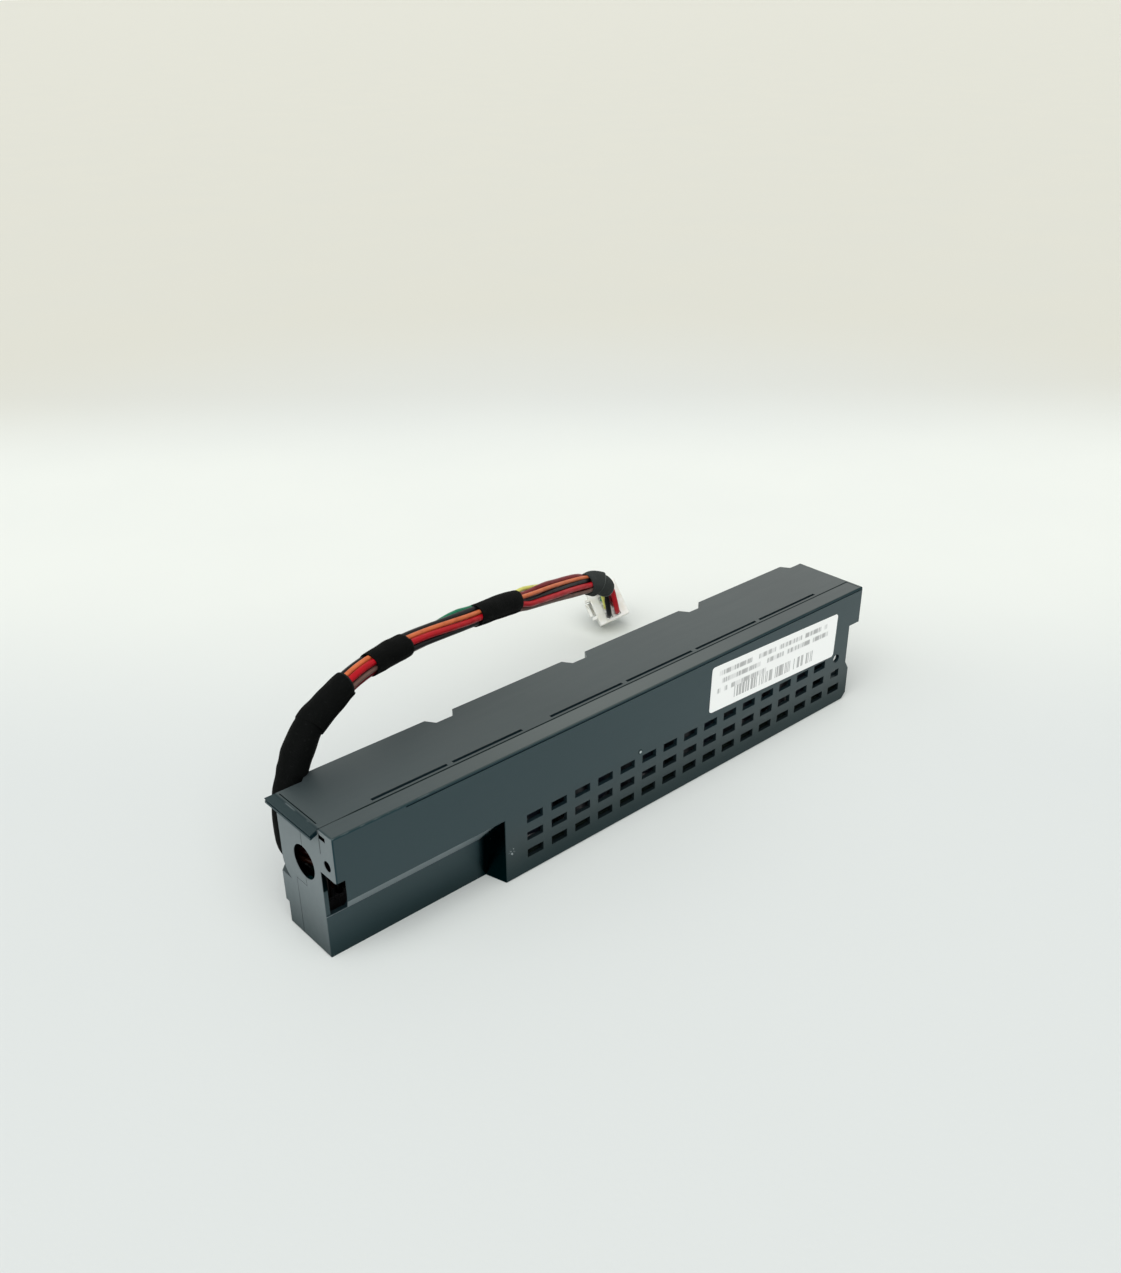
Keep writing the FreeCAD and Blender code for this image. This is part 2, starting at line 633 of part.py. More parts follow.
def controller_chip():
    y = STRIP_FRONT + PARTS_MARGIN + CHIP_WIDTH / 2
    body = package(CHIP_WIDTH, CHIP_WIDTH, CHIP_HEIGHT, CHIP_X, y)
    corner = CHIP_WIDTH / 2 - 2 * CHIP_DOT_RADIUS
    dot = rounded_post(CHIP_DOT_RADIUS, CHIP_DOT_DEPTH,
                       (CHIP_X - corner, y - corner, BOARD_TOP + CHIP_HEIGHT - CHIP_DOT_DEPTH))
    return body.cut(dot)


def power_switches():
    """One behind the controller and one beside the inductor."""
    places = ((CHIP_X, BOARD_REAR - PARTS_MARGIN - SWITCH_WIDTH / 2), (OUTPUT_SWITCH_X, STRIP_MIDDLE))
    return Part.makeCompound([package(SWITCH_LENGTH, SWITCH_WIDTH, SWITCH_HEIGHT, x, y) for x, y in places])


def harness_header():
    half_width = HEADER_WIDTH / 2
    half_length = HEADER_LENGTH / 2
    body = box((HEADER_X - half_width, HEADER_Y - half_length, BOARD_TOP),
               (HEADER_X + half_width, HEADER_Y + half_length, BOARD_TOP + HEADER_HEIGHT))
    keys = [box((HEADER_X - HEADER_KEY, y - HEADER_KEY, BOARD_TOP + HEADER_KEY_LOW),
                (HEADER_X + HEADER_KEY, y + HEADER_KEY, BOARD_TOP + HEADER_HEIGHT + OVER))
            for y in (HEADER_Y - half_length, HEADER_Y + half_length)]
    return body.cut(keys)


def harness_edges():
    """Straight runs joined by tangent arcs, each as large as its two runs allow."""
    points = [HARNESS_START + V(*offset) for offset in ROUTE]
    edges = []
    radii = []
    start = points[0]
    for before, corner, after in zip(points, points[1:], points[2:]):
        come = corner - before
        leave = after - corner
        half_turn = come.getAngle(leave) / 2
        tangent = ARC_SHARE * min(come.Length, leave.Length)
        radius = tangent / math.tan(half_turn)
        radii.append(round(radius, 1))
        come.normalize()
        leave.normalize()
        inward = leave - come
        inward.normalize()
        first = corner - come * tangent
        last = corner + leave * tangent
        middle = corner + inward * (radius / math.cos(half_turn) - radius)
        edges.append(Part.LineSegment(start, first).toShape())
        edges.append(Part.Arc(first, middle, last).toShape())
        start = last
    edges.append(Part.LineSegment(start, points[-1]).toShape())
    print("harness bend radii", radii)
    return edges


def stretch(edges, start, end):
    """The part of a chain of edges between two distances along it."""
    pieces = []
    done = 0.0
    for edge in edges:
        low = max(start - done, 0.0)
        high = min(end - done, edge.Length)
        if high - low > 1e-6:
            pieces.append(edge.Curve.toShape(edge.getParameterByLength(low), edge.getParameterByLength(high)))
        done += edge.Length
    return pieces


def tube(edges, radius):
    first = edges[0]
    ring = Part.Circle(first.valueAt(first.FirstParameter), first.tangentAt(first.FirstParameter), radius)
    return Part.Wire(edges).makePipeShell([Part.Wire(ring.toShape())], True, False)


def tape_wrap(edges, start, end, radius):
    run = stretch(edges, start, end)
    return tube(run, radius).cut(tube(run, BUNDLE_RADIUS + TAPE_CLEARANCE))


def plug_frame():
    """Place of the plug: its origin in the middle of the wire side, local z the way the wires leave."""
    out = V(WIRE_SIDE)
    out.normalize()
    along = out.cross(ACROSS_ROWS)
    along.normalize()
    across = along.cross(out)
    end = HARNESS_START + V(*ROUTE[-1])
    return FreeCAD.Placement(FreeCAD.Matrix(
        across.x, along.x, out.x, end.x,
        across.y, along.y, out.y, end.y,
        across.z, along.z, out.z, end.z,
        0, 0, 0, 1))


def cavity_places():
    rows = (-PLUG_PITCH / 2, PLUG_PITCH / 2)
    return [(x, (index - (PLUG_COLUMNS - 1) / 2) * PLUG_PITCH) for x in rows for index in range(PLUG_COLUMNS)]


def connector_housing():
    half_width = PLUG_WIDTH / 2
    half_length = PLUG_LENGTH / 2
    body = box((-half_width, -half_length, -PLUG_DEPTH), (half_width, half_length, 0))
    body = body.makeFillet(PLUG_EDGE, body.Edges)
    side = -half_width
    arm = box((side - LATCH_STANDOFF - LATCH_THICKNESS, -LATCH_WIDTH / 2, -PLUG_DEPTH + PLUG_EDGE),
              (side - LATCH_STANDOFF, LATCH_WIDTH / 2, -PLUG_DEPTH + PLUG_EDGE + LATCH_LENGTH))
    root = box((side - LATCH_STANDOFF - LATCH_THICKNESS, -LATCH_WIDTH / 2, -PLUG_DEPTH / 2),
               (side + PLUG_EDGE, LATCH_WIDTH / 2, -PLUG_DEPTH / 2 + LATCH_THICKNESS))
    fins = []
    for hand in (-1, 1):
        middle = hand * (LATCH_WIDTH / 2 + FIN_THICKNESS)
        fins.append(box((side - FIN_HEIGHT, middle - FIN_THICKNESS / 2, -FIN_LENGTH - PLUG_EDGE),
                        (side + PLUG_EDGE, middle + FIN_THICKNESS / 2, -PLUG_EDGE)))
    body = body.fuse([arm, root] + fins)
    half_cavity = PLUG_CAVITY / 2
    cavities = [box((x - half_cavity, y - half_cavity, -PLUG_DEPTH - OVER),
                    (x + half_cavity, y + half_cavity, OVER)) for x, y in cavity_places()]
    return body.cut(cavities)


def connector_contacts():
    half = CONTACT_WIDTH / 2
    contacts = []
    for x, y in cavity_places():
        mouth = -CONTACT_INSET - CONTACT_LENGTH
        shell = box((x - half, y - half, mouth), (x + half, y + half, -CONTACT_INSET))
        socket = box((x - half / 2, y - half / 2, mouth),
                     (x + half / 2, y + half / 2, mouth + CONTACT_LENGTH / 2))
        contacts.append(shell.cut(socket))
    return Part.makeCompound(contacts)


def build():
    case = hollow_case()
    module = {
        "rear_shell": rear_shell(case),
        "front_shell": front_shell(case),
        "label": label(),
        "control_board": control_board(),
        "board_screws": board_screws(),
        "foam_pad": foam_pad(),
        "charge_inductor": charge_inductor(),
        "power_switches": power_switches(),
        "controller_chip": controller_chip(),
        "harness_header": harness_header(),
    }
    for index, (x, y) in enumerate(cell_places(), 1):
        module["capacitor_cell_%d" % index] = capacitor_cell(x, y)
    for index, x in enumerate(FILTERS_X, 1):
        module["filter_capacitor_%d" % index] = filter_capacitor(x)

    edges = harness_edges()
    length = sum(edge.Length for edge in edges)
    bundle = tube(edges, BUNDLE_RADIUS)
    print("harness length", round(length, 1), "volume ratio",
          round(bundle.Volume / (math.pi * BUNDLE_RADIUS ** 2 * length), 4))
    harness = {"wire_bundle": bundle}
    for index, (start, end, radius) in enumerate(TAPE_WRAPS, 1):
        harness["tape_wrap_%d" % index] = tape_wrap(edges, start, end, radius)
    harness["connector_housing"] = connector_housing()
    harness["connector_contacts"] = connector_contacts()
    for name in ("connector_housing", "connector_contacts"):
        harness[name].Placement = plug_frame()

    extent = Part.makeCompound(list(module.values())).BoundBox
    origin = V((extent.XMin + extent.XMax) / 2, (extent.YMin + extent.YMax) / 2, extent.ZMin)
    os.makedirs("parts", exist_ok=True)
    for name, shape in {**module, **harness}.items():
        shape.translate(origin * -1)
        shape.exportStep("parts/%s.step" % name)
        print(name, "valid" if shape.isValid() else "INVALID", len(shape.Solids), "solids",
              round(shape.Volume, 1), "mm3")
    print("origin", origin, "lowest of the harness", min(shape.BoundBox.ZMin for shape in harness.values()))


build()
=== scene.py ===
import math

import bpy
from bpy.props import FloatProperty, FloatVectorProperty, PointerProperty
from mathutils import Matrix, Vector, noise


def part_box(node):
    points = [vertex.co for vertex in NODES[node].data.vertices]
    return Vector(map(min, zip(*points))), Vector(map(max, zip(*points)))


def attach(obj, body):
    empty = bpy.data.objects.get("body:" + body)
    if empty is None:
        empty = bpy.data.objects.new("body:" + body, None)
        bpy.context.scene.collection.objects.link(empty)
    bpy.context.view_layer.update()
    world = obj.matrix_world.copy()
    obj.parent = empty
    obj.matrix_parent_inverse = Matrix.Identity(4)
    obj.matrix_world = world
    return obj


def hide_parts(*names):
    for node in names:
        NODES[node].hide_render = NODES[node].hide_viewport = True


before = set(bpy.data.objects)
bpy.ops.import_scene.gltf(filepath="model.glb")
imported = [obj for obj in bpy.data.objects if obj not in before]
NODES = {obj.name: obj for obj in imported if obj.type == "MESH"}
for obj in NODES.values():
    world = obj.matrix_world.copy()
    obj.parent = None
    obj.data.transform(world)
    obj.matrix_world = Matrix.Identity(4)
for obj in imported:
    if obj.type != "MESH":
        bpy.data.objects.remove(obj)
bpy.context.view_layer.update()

bl_info = {
    "name": "Backup Capacitor Module",
    "version": (1, 0, 0),
    "blender": (4, 5, 0),
    "location": "View3D > Sidebar > Module",
    "description": "Finishes a server's backup capacitor module, winds its harness and sets a plain stage",
    "category": "Object",
}

MM = 0.001

# The case: its size and the places of its features, in millimetres from its front lower left corner
CASE_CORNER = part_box("front_shell")[0]
CASE_SIZE = (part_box("front_shell")[1] - CASE_CORNER) / MM
CASE_DEPTH = (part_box("rear_shell")[1].y - CASE_CORNER.y) / MM
RECESS_LENGTH = 48.4
RECESS_DEPTH = 6.5
RECESS_TOP = 19.4
RECESS_SLOPE_HEIGHT = 7.5
TOP_SEAM = 5.4
END_WALL = 1.3
SCUFF_PLACE = (50.2, 9.0)
DIMPLE_PLACE = (95.3, 19.3)
GLINT_PLACE = (95.5, 19.1)

# Tones painted on the case: near-black for painted shade and the top seam, a lighter left of the lid, a
# painted sheen on the top strip, a scuff and a painted glint
SHADE_AND_SEAM_BLACK = (0.0008, 0.0010, 0.0011)
LID_SHADE = (0.020, 0.026, 0.028)
STRIP_SHEEN = (0.042, 0.048, 0.046)
SCUFF_TONE = (0.30, 0.33, 0.34)
GLINT_TONE = (0.45, 0.50, 0.50)

# The sticker: its turn, its strip of bars (left, right, low, high) and its rows (middle, left, right)
LABEL_TILT = math.radians(2.05)
LABEL_BARS = (-18.7, 17.8, -5.3, -1.7)
LABEL_ROWS = ((4.5, -25.0, 23.4), (1.85, -25.2, 24.0), (-0.95, -25.6, -4.4))
PAPER_SHADE = (0.76, 0.77, 0.75)

# The board and what stands on it
TRACK_PITCH = 0.9
TRACK_RUN = 7.0
SOLDER_MASK = (0.004, 0.008, 0.006)
MASKED_TRACK = (0.010, 0.020, 0.014)
MASK_FLECK = (0.008, 0.014, 0.011)
SCREW_STEEL = (0.56, 0.56, 0.54)
# Moulded bodies: tone, tone of the speckle, and how fine the speckle is
MOULDED = {
    "chip_epoxy": ((0.014, 0.014, 0.015), (0.035, 0.035, 0.036), 2.5),
    "filter_sleeve": ((0.006, 0.007, 0.009), (0.014, 0.015, 0.018), 3.0),
    "ferrite": ((0.035, 0.035, 0.038), (0.075, 0.075, 0.08), 4.0),
    "header_nylon": ((0.006, 0.006, 0.007), (0.014, 0.014, 0.015), 3.0),
}

# The storage cells and their foam
SLEEVE_TONE = (0.005, 0.007, 0.012)
SLEEVE_CREASE = (0.010, 0.013, 0.022)
SLEEVE_STRIPE = (0.36, 0.38, 0.38)
BARE_CAN = (0.70, 0.70, 0.71)
# Painted shade: the foam's pores are darker than its walls
FOAM_PORE_SHADE = (0.012, 0.012, 0.012)
FOAM_WALL = (0.05, 0.05, 0.05)

# Harness route: offsets from the middle of the board header's top, in millimetres
ROUTE = (
    (0.0, 0.0, 0.0),
    (0.0, 0.0, 3.7),
    (-0.4, 2.4, 6.4),
    (-1.8, 6.6, 7.1),
    (-3.0, 9.6, 8.8),
    (-2.8, 10.2, 13.4),
    (-2.1, 10.9, 19.2),
    (-0.3, 12.5, 24.6),
    (3.6, 12.9, 30.2),
    (8.4, 14.6, 35.3),
    (15.3, 16.5, 37.7),
    (24.3, 19.6, 40.1),
    (35.2, 23.4, 39.9),
    (48.7, 28.1, 38.3),
    (66.7, 33.6, 35.0),
    (86.7, 40.8, 30.8),
    (106.7, 47.4, 25.8),
    (126.7, 54.5, 19.4),
    (142.2, 59.3, 14.8),
    (151.1, 62.1, 10.2),
    (153.9, 63.7, 2.75),
    (156.5, 66.7, 0.55),
)
ROUTE_STEPS = 14
# Distance along the harness at the header: all tables of distances count from a little past it
ROUTE_START = -0.93

# Plug: the way its wires leave and the way across its two rows
WIRE_SIDE = Vector((-0.573, -0.660, 0.482)).normalized()
ACROSS_ROWS = Vector((0.818, -0.449, 0.358))
PLUG_PITCH = 3.0
WIRE_SEAT = 0.8
NYLON_AGEING = (0.90, 0.88, 0.80)
CONTACT_TIN = (0.70, 0.70, 0.68)

# Wires: name, gauge, place round the bundle in degrees, hole in the plug as row and column
WIRES = (
    ("red_1", "thick", -14.0, (0.5, -1.5)),
    ("orange", "thin", 36.0, (0.5, 0.5)),
    ("black_1", "thick", 86.0, (-0.5, -1.5)),
    ("green", "thin", 136.0, (-0.5, 0.5)),
    ("yellow", "thin", 177.0, (-0.5, -0.5)),
    # Painted shade: this supply wire uses a darker copy of the red
    ("shaded_2", "thick", 236.0, (0.5, -0.5)),
    ("brown", "thin", 293.0, (-0.5, 1.5)),
    ("black_2", "thick", 293.0, (0.5, 1.5)),
)
# How the bundle turns along the harness: distance in millimetres, degrees
TWIST = ((0.0, 0.0), (63.0, 20.0), (83.0, 5.0), (116.0, -25.0), (139.0, -30.0), (182.0, 15.0), (216.0, 15.0))
# Where a wire leaves its place in the ring: distance, share of the ring's radius, degrees aside
WANDER = {
    "red_1": (
        (136.0, 1.0, 0.0), (145.0, 1.45, -18.0), (162.0, 1.22, -31.0), (172.0, 1.0, -36.0),
        (181.0, 0.95, -36.0), (196.0, 1.0, 0.0)),
    "orange": (
        (136.0, 1.0, 0.0), (145.0, 1.05, 0.0), (162.0, 1.08, 7.0), (181.0, 1.2, 6.0), (196.0, 1.0, 0.0)),
    "black_1": (
        (125.0, 1.0, 0.0), (136.0, 0.5, -100.0), (145.0, 0.55, -128.0), (162.0, 0.49, -93.0),
        (172.0, 0.5, -74.0), (181.0, 0.6, -69.0), (193.0, 1.0, 0.0)),
    "green": (
        (93.0, 1.0, 0.0), (110.0, 1.5, -24.0), (116.0, 1.3, -26.0), (127.0, 1.0, 0.0),
        (141.0, 0.85, 40.0), (165.0, 0.85, 20.0), (182.0, 0.9, 0.0)),
    "yellow": (
        (125.0, 1.0, 0.0), (138.0, 1.2, -50.0), (147.0, 1.6, -52.0), (157.0, 1.5, -56.0),
        (168.0, 1.0, -57.0), (182.0, 1.0, -30.0)),
    "shaded_2": (
        (120.0, 1.0, 0.0), (142.0, 0.6, -128.0), (162.0, 1.36, -153.0), (178.0, 1.6, -170.0),
        (196.0, 1.0, -120.0)),
    "brown": (
        (0.0, 1.0, 0.0), (70.0, 1.0, 0.0), (81.0, 0.0, 0.0), (118.0, 0.0, 0.0), (136.0, 1.3, 0.0),
        (145.0, 1.62, 0.0), (162.0, 1.5, -18.0), (172.0, 1.5, -24.0), (181.0, 1.45, -23.0),
        (191.0, 1.0, 0.0)),
    "black_2": (
        (0.0, 0.0, 0.0), (70.0, 0.0, 0.0), (81.0, 1.0, 0.0), (118.0, 1.0, 0.0), (136.0, 1.3, -20.0),
        (145.0, 1.5, -30.0), (162.0, 1.4, -56.0), (172.0, 1.3, -67.0), (181.0, 1.2, -73.0),
        (191.0, 0.6, 0.0), (206.0, 0.0, 0.0)),
}
# Uneven lay of a wire: how far it strays, how fast along the harness, and a step from one wire to the next
WIRE_WAVER = 0.16
WAVER_RATE = 0.06
WAVER_SEED = 7.3
# Distance along the harness at which the bundle's frame is set to face the photograph's camera
FACING_DISTANCE = 99.0
# Lengths over which the wires gather at the header and part at the plug, and the header's pin spacing
HEADER_SPREAD = 10.0
PLUG_SPREAD = 13.0
HEADER_ROW_PITCH = 2.8
HEADER_PIN_PITCH = 2.3

# Strips of tape: the CAD wrap, start and end along the harness, lap in degrees, slant of the end, shares of
# the radius facing and across the view, and rows of distance, radius and how far it sits off the middle
TAPE_STRIPS = (
    ("tape_wrap_1", 10.6, 45.3, 150.0, 0.0, 0.97, 1.0, (
        (10.6, 2.9, 0.0), (27.0, 3.0, 0.0), (30.5, 3.1, -0.35), (33.0, 3.6, -0.5), (37.0, 3.75, -0.05),
        (45.0, 3.4, 0.1))),
    ("tape_wrap_2", 44.1, 58.5, 230.0, 0.3, 0.97, 1.0, (
        (44.0, 3.65, 0.0), (50.0, 3.4, 0.0), (58.5, 3.25, 0.0))),
    ("tape_wrap_3", 68.3, 83.2, 300.0, -0.4, 0.96, 1.0, (
        (68.0, 2.98, 0.0), (83.0, 3.15, 0.0))),
    ("tape_wrap_4", 116.5, 138.9, 210.0, 0.4, 0.96, 1.0, (
        (116.0, 2.98, 0.0), (139.0, 3.15, 0.0))),
    ("tape_wrap_5", 184.3, 192.4, 330.0, 4.2, 0.86, 1.06, (
        (184.0, 3.25, 0.0), (190.0, 4.0, 0.0), (198.0, 4.15, 0.0))),
    ("tape_wrap_5", 187.4, 199.5, 120.0, 0.6, 0.9, 1.0, (
        (187.0, 3.3, 0.0), (200.0, 3.5, 0.0))),
)
# Painted sheen: this wrap gets a lighter, greyer copy of the cloth tape
GREY_WRAP = "tape_wrap_5"
# Turns that a strip makes, and its mesh: length of a row of faces and faces round it
TAPE_TURNS = 1.2
TAPE_ROW = 0.45
TAPE_FACES = 84
# Unevenness of a strip: its cut ends, its creases and how far its ends draw in
TAPE_RAGGED = 0.35
TAPE_CREASE = 0.16
TAPE_DRAW_IN = 0.12
WEAVE_PITCH = 0.42
FRAYED_TONE = (0.20, 0.22, 0.21)

# Camera of the photograph: focal length and middle in pixels, place from the case's front lower left corner
PHOTO_SIZE = (1121, 1273)
FOCAL_PIXELS = 1244.82
PHOTO_MIDDLE = (549.70, 669.68)
CAMERA_PLACE = Vector((-107.40, -196.84, 199.84))
CAMERA_RIGHT = Vector((0.7505, -0.6608, -0.0122))
CAMERA_DOWN = Vector((-0.3268, -0.3550, -0.8759))
CAMERA_FORWARD = Vector((0.5745, 0.6613, -0.4824))
SENSOR = 36.0

# The stage: table, lamps (the way to them and how wide they are in degrees) and marks on the table
TABLE_RADIUS = 40.0
WINDOW_PLACE = Vector((-0.36, -0.42, 0.83))
WINDOW_SPREAD = 70.0
SIDE_PLACE = Vector((-0.90, 0.15, 0.45))
SIDE_SPREAD = 60.0
# Scratches: slant, offset, start and end along the table
SCRATCHES = ((0.32, -96.0, 30.0, 330.0), (-0.62, 196.0, -60.0, 20.0), (1.4, -260.0, 120.0, 190.0))
SCRATCH_TONE = (0.42, 0.43, 0.41)
SPECK_TONE = (0.28, 0.28, 0.27)

# Sockets of a Mix node that mixes colours
MIX_FIRST = 6
MIX_SECOND = 7
MIX_RESULT = 2


class CaseLook(bpy.types.PropertyGroup):
    """Colours and wear of the moulded shells."""

    plastic: FloatVectorProperty(
        name="Plastic", description="Colour of the moulded shells", subtype="COLOR", min=0, max=1,
        default=(0.0035, 0.0060, 0.0070))
    faded: FloatVectorProperty(
        name="Faded plastic", description="Colour where the plastic is handled", subtype="COLOR",
        min=0, max=1, default=(0.0055, 0.0090, 0.0100))
    # Painted light: the front is painted lighter and bluer towards the top, darker towards the bottom
    bluish_lit_front: FloatVectorProperty(
        name="Bluish plastic", description="Colour of the upper front", subtype="COLOR", min=0, max=1,
        default=(0.0035, 0.0130, 0.0180))
    # Painted reflection: the sloped top of the recess is painted light
    slope: FloatVectorProperty(
        name="Recess slope", description="Colour of the slope over the recess", subtype="COLOR", min=0, max=1,
        default=(0.16, 0.195, 0.21))
    # Painted light: the left end face is painted pale, lighter towards the top
    lit_pale_end: FloatVectorProperty(
        name="Pale end", description="Colour of the matte left end", subtype="COLOR", min=0, max=1,
        default=(0.150, 0.167, 0.172))
    rubbed: FloatVectorProperty(
        name="Rubbed edge", description="Colour of worn edges and scuffs", subtype="COLOR", min=0, max=1,
        default=(0.16, 0.18, 0.18))
    gloss: FloatProperty(
        name="Roughness", description="Roughness of the satin plastic", subtype="FACTOR", min=0, max=1,
        default=0.33)
    grain: FloatProperty(
        name="Grain depth", description="Depth of the moulded grain", unit="LENGTH", min=0, default=0.00003)


class LabelLook(bpy.types.PropertyGroup):
    """Colours of the sticker."""

    paper: FloatVectorProperty(
        name="Paper", description="Colour of the sticker", subtype="COLOR", min=0, max=1,
        default=(0.94, 0.945, 0.93))
    ink: FloatVectorProperty(
        name="Ink", description="Colour of the printed fields", subtype="COLOR", min=0, max=1,
        default=(0.26, 0.26, 0.26))


class HarnessLook(bpy.types.PropertyGroup):
    """Sizes and colours of the wires, the tape and the plug."""

    thick_wire: FloatProperty(
        name="Supply wire radius", description="Radius of the red and black wires", unit="LENGTH", min=0,
        default=0.0009)
    thin_wire: FloatProperty(
        name="Signal wire radius", description="Radius of the other wires", unit="LENGTH", min=0,
        default=0.00066)
    ring: FloatProperty(
        name="Ring radius", description="Distance of the outer wires from the harness's middle",
        unit="LENGTH", min=0, default=0.00193)
    diameter: FloatProperty(
        name="Harness diameter", description="Thickness of the bare bundle", unit="LENGTH", min=0,
        default=0.0057)
    tape_thickness: FloatProperty(
        name="Tape thickness", description="Thickness of the cloth tape", unit="LENGTH", min=0,
        default=0.00022)
    red: FloatVectorProperty(
        name="Red", description="Insulation of the supply wires", subtype="COLOR", min=0, max=1,
        default=(0.40, 0.005, 0.012))
    # Painted shade: a darker copy of the red for the second supply wire
    shaded: FloatVectorProperty(
        name="Shaded red", description="Insulation of the second, darker supply wire", subtype="COLOR",
        min=0, max=1, default=(0.15, 0.004, 0.008))
    orange: FloatVectorProperty(
        name="Orange", description="Insulation of a signal wire", subtype="COLOR", min=0, max=1,
        default=(0.60, 0.15, 0.055))
    black: FloatVectorProperty(
        name="Black", description="Insulation of the return wires", subtype="COLOR", min=0, max=1,
        default=(0.005, 0.005, 0.006))
    green: FloatVectorProperty(
        name="Green", description="Insulation of a signal wire", subtype="COLOR", min=0, max=1,
        default=(0.012, 0.17, 0.085))
    yellow: FloatVectorProperty(
        name="Yellow", description="Insulation of a signal wire", subtype="COLOR", min=0, max=1,
        default=(0.66, 0.65, 0.15))
    brown: FloatVectorProperty(
        name="Brown", description="Insulation of a signal wire", subtype="COLOR", min=0, max=1,
        default=(0.15, 0.085, 0.070))
    tape: FloatVectorProperty(
        name="Tape", description="Colour of the cloth tape", subtype="COLOR", min=0, max=1,
        default=(0.0018, 0.0022, 0.0021))
    # Painted sheen: a lighter, greyer copy of the cloth tape for the wrap at the plug
    end_tape_sheen: FloatVectorProperty(
        name="End tape", description="Colour of the greyer tape at the plug", subtype="COLOR", min=0, max=1,
        default=(0.035, 0.040, 0.038))
    nylon: FloatVectorProperty(
        name="Nylon", description="Colour of the plug", subtype="COLOR", min=0, max=1,
        default=(0.78, 0.78, 0.74))


class StageLook(bpy.types.PropertyGroup):
    """Floor, background and lamps."""

    floor: FloatVectorProperty(
        name="Floor", description="Colour of the table", subtype="COLOR", min=0, max=1,
        default=(0.67, 0.69, 0.675))
    backdrop: FloatVectorProperty(
        name="Backdrop", description="Colour of the table's far end", subtype="COLOR", min=0, max=1,
        default=(0.64, 0.625, 0.545))
    # Painted light: a brighter band of the table behind the module, lifting its shadow
    painted_light_patch: FloatVectorProperty(
        name="Bright patch", description="Colour of the table behind the module", subtype="COLOR",
        min=0, max=1, default=(0.805, 0.82, 0.765))
    room: FloatVectorProperty(
        name="Room", description="Colour of the room beyond the table", subtype="COLOR", min=0, max=1,
        default=(0.96, 0.96, 0.92))
    fill: FloatVectorProperty(
        name="Fill", description="Light from all round", subtype="COLOR", min=0, max=1,
        default=(0.30, 0.32, 0.335))
    sky: FloatProperty(name="Soft light", description="Light of the wide window", min=0, default=2.78)
    side: FloatProperty(name="Side light", description="Light from the left", min=0, default=0.8)


class Socket:
    """An output of a material's nodes: sums with it add Math nodes."""

    def __init__(self, finish, output):
        self.finish = finish
        self.output = output

    def maths(self, operation, *values):
        """A Math node of any kind."""
        return self.finish.node("ShaderNodeMath", {"operation": operation}, dict(enumerate(values)))

    def __add__(self, other):
        return self.maths("ADD", self, other)

    def __radd__(self, other):
        return self.maths("ADD", other, self)

    def __sub__(self, other):
        return self.maths("SUBTRACT", self, other)

    def __rsub__(self, other):
        return self.maths("SUBTRACT", other, self)

    def __mul__(self, other):
        return self.maths("MULTIPLY", self, other)

    def __rmul__(self, other):
        return self.maths("MULTIPLY", other, self)

    def __truediv__(self, other):
        return self.maths("DIVIDE", self, other)

    def __rtruediv__(self, other):
        return self.maths("DIVIDE", other, self)


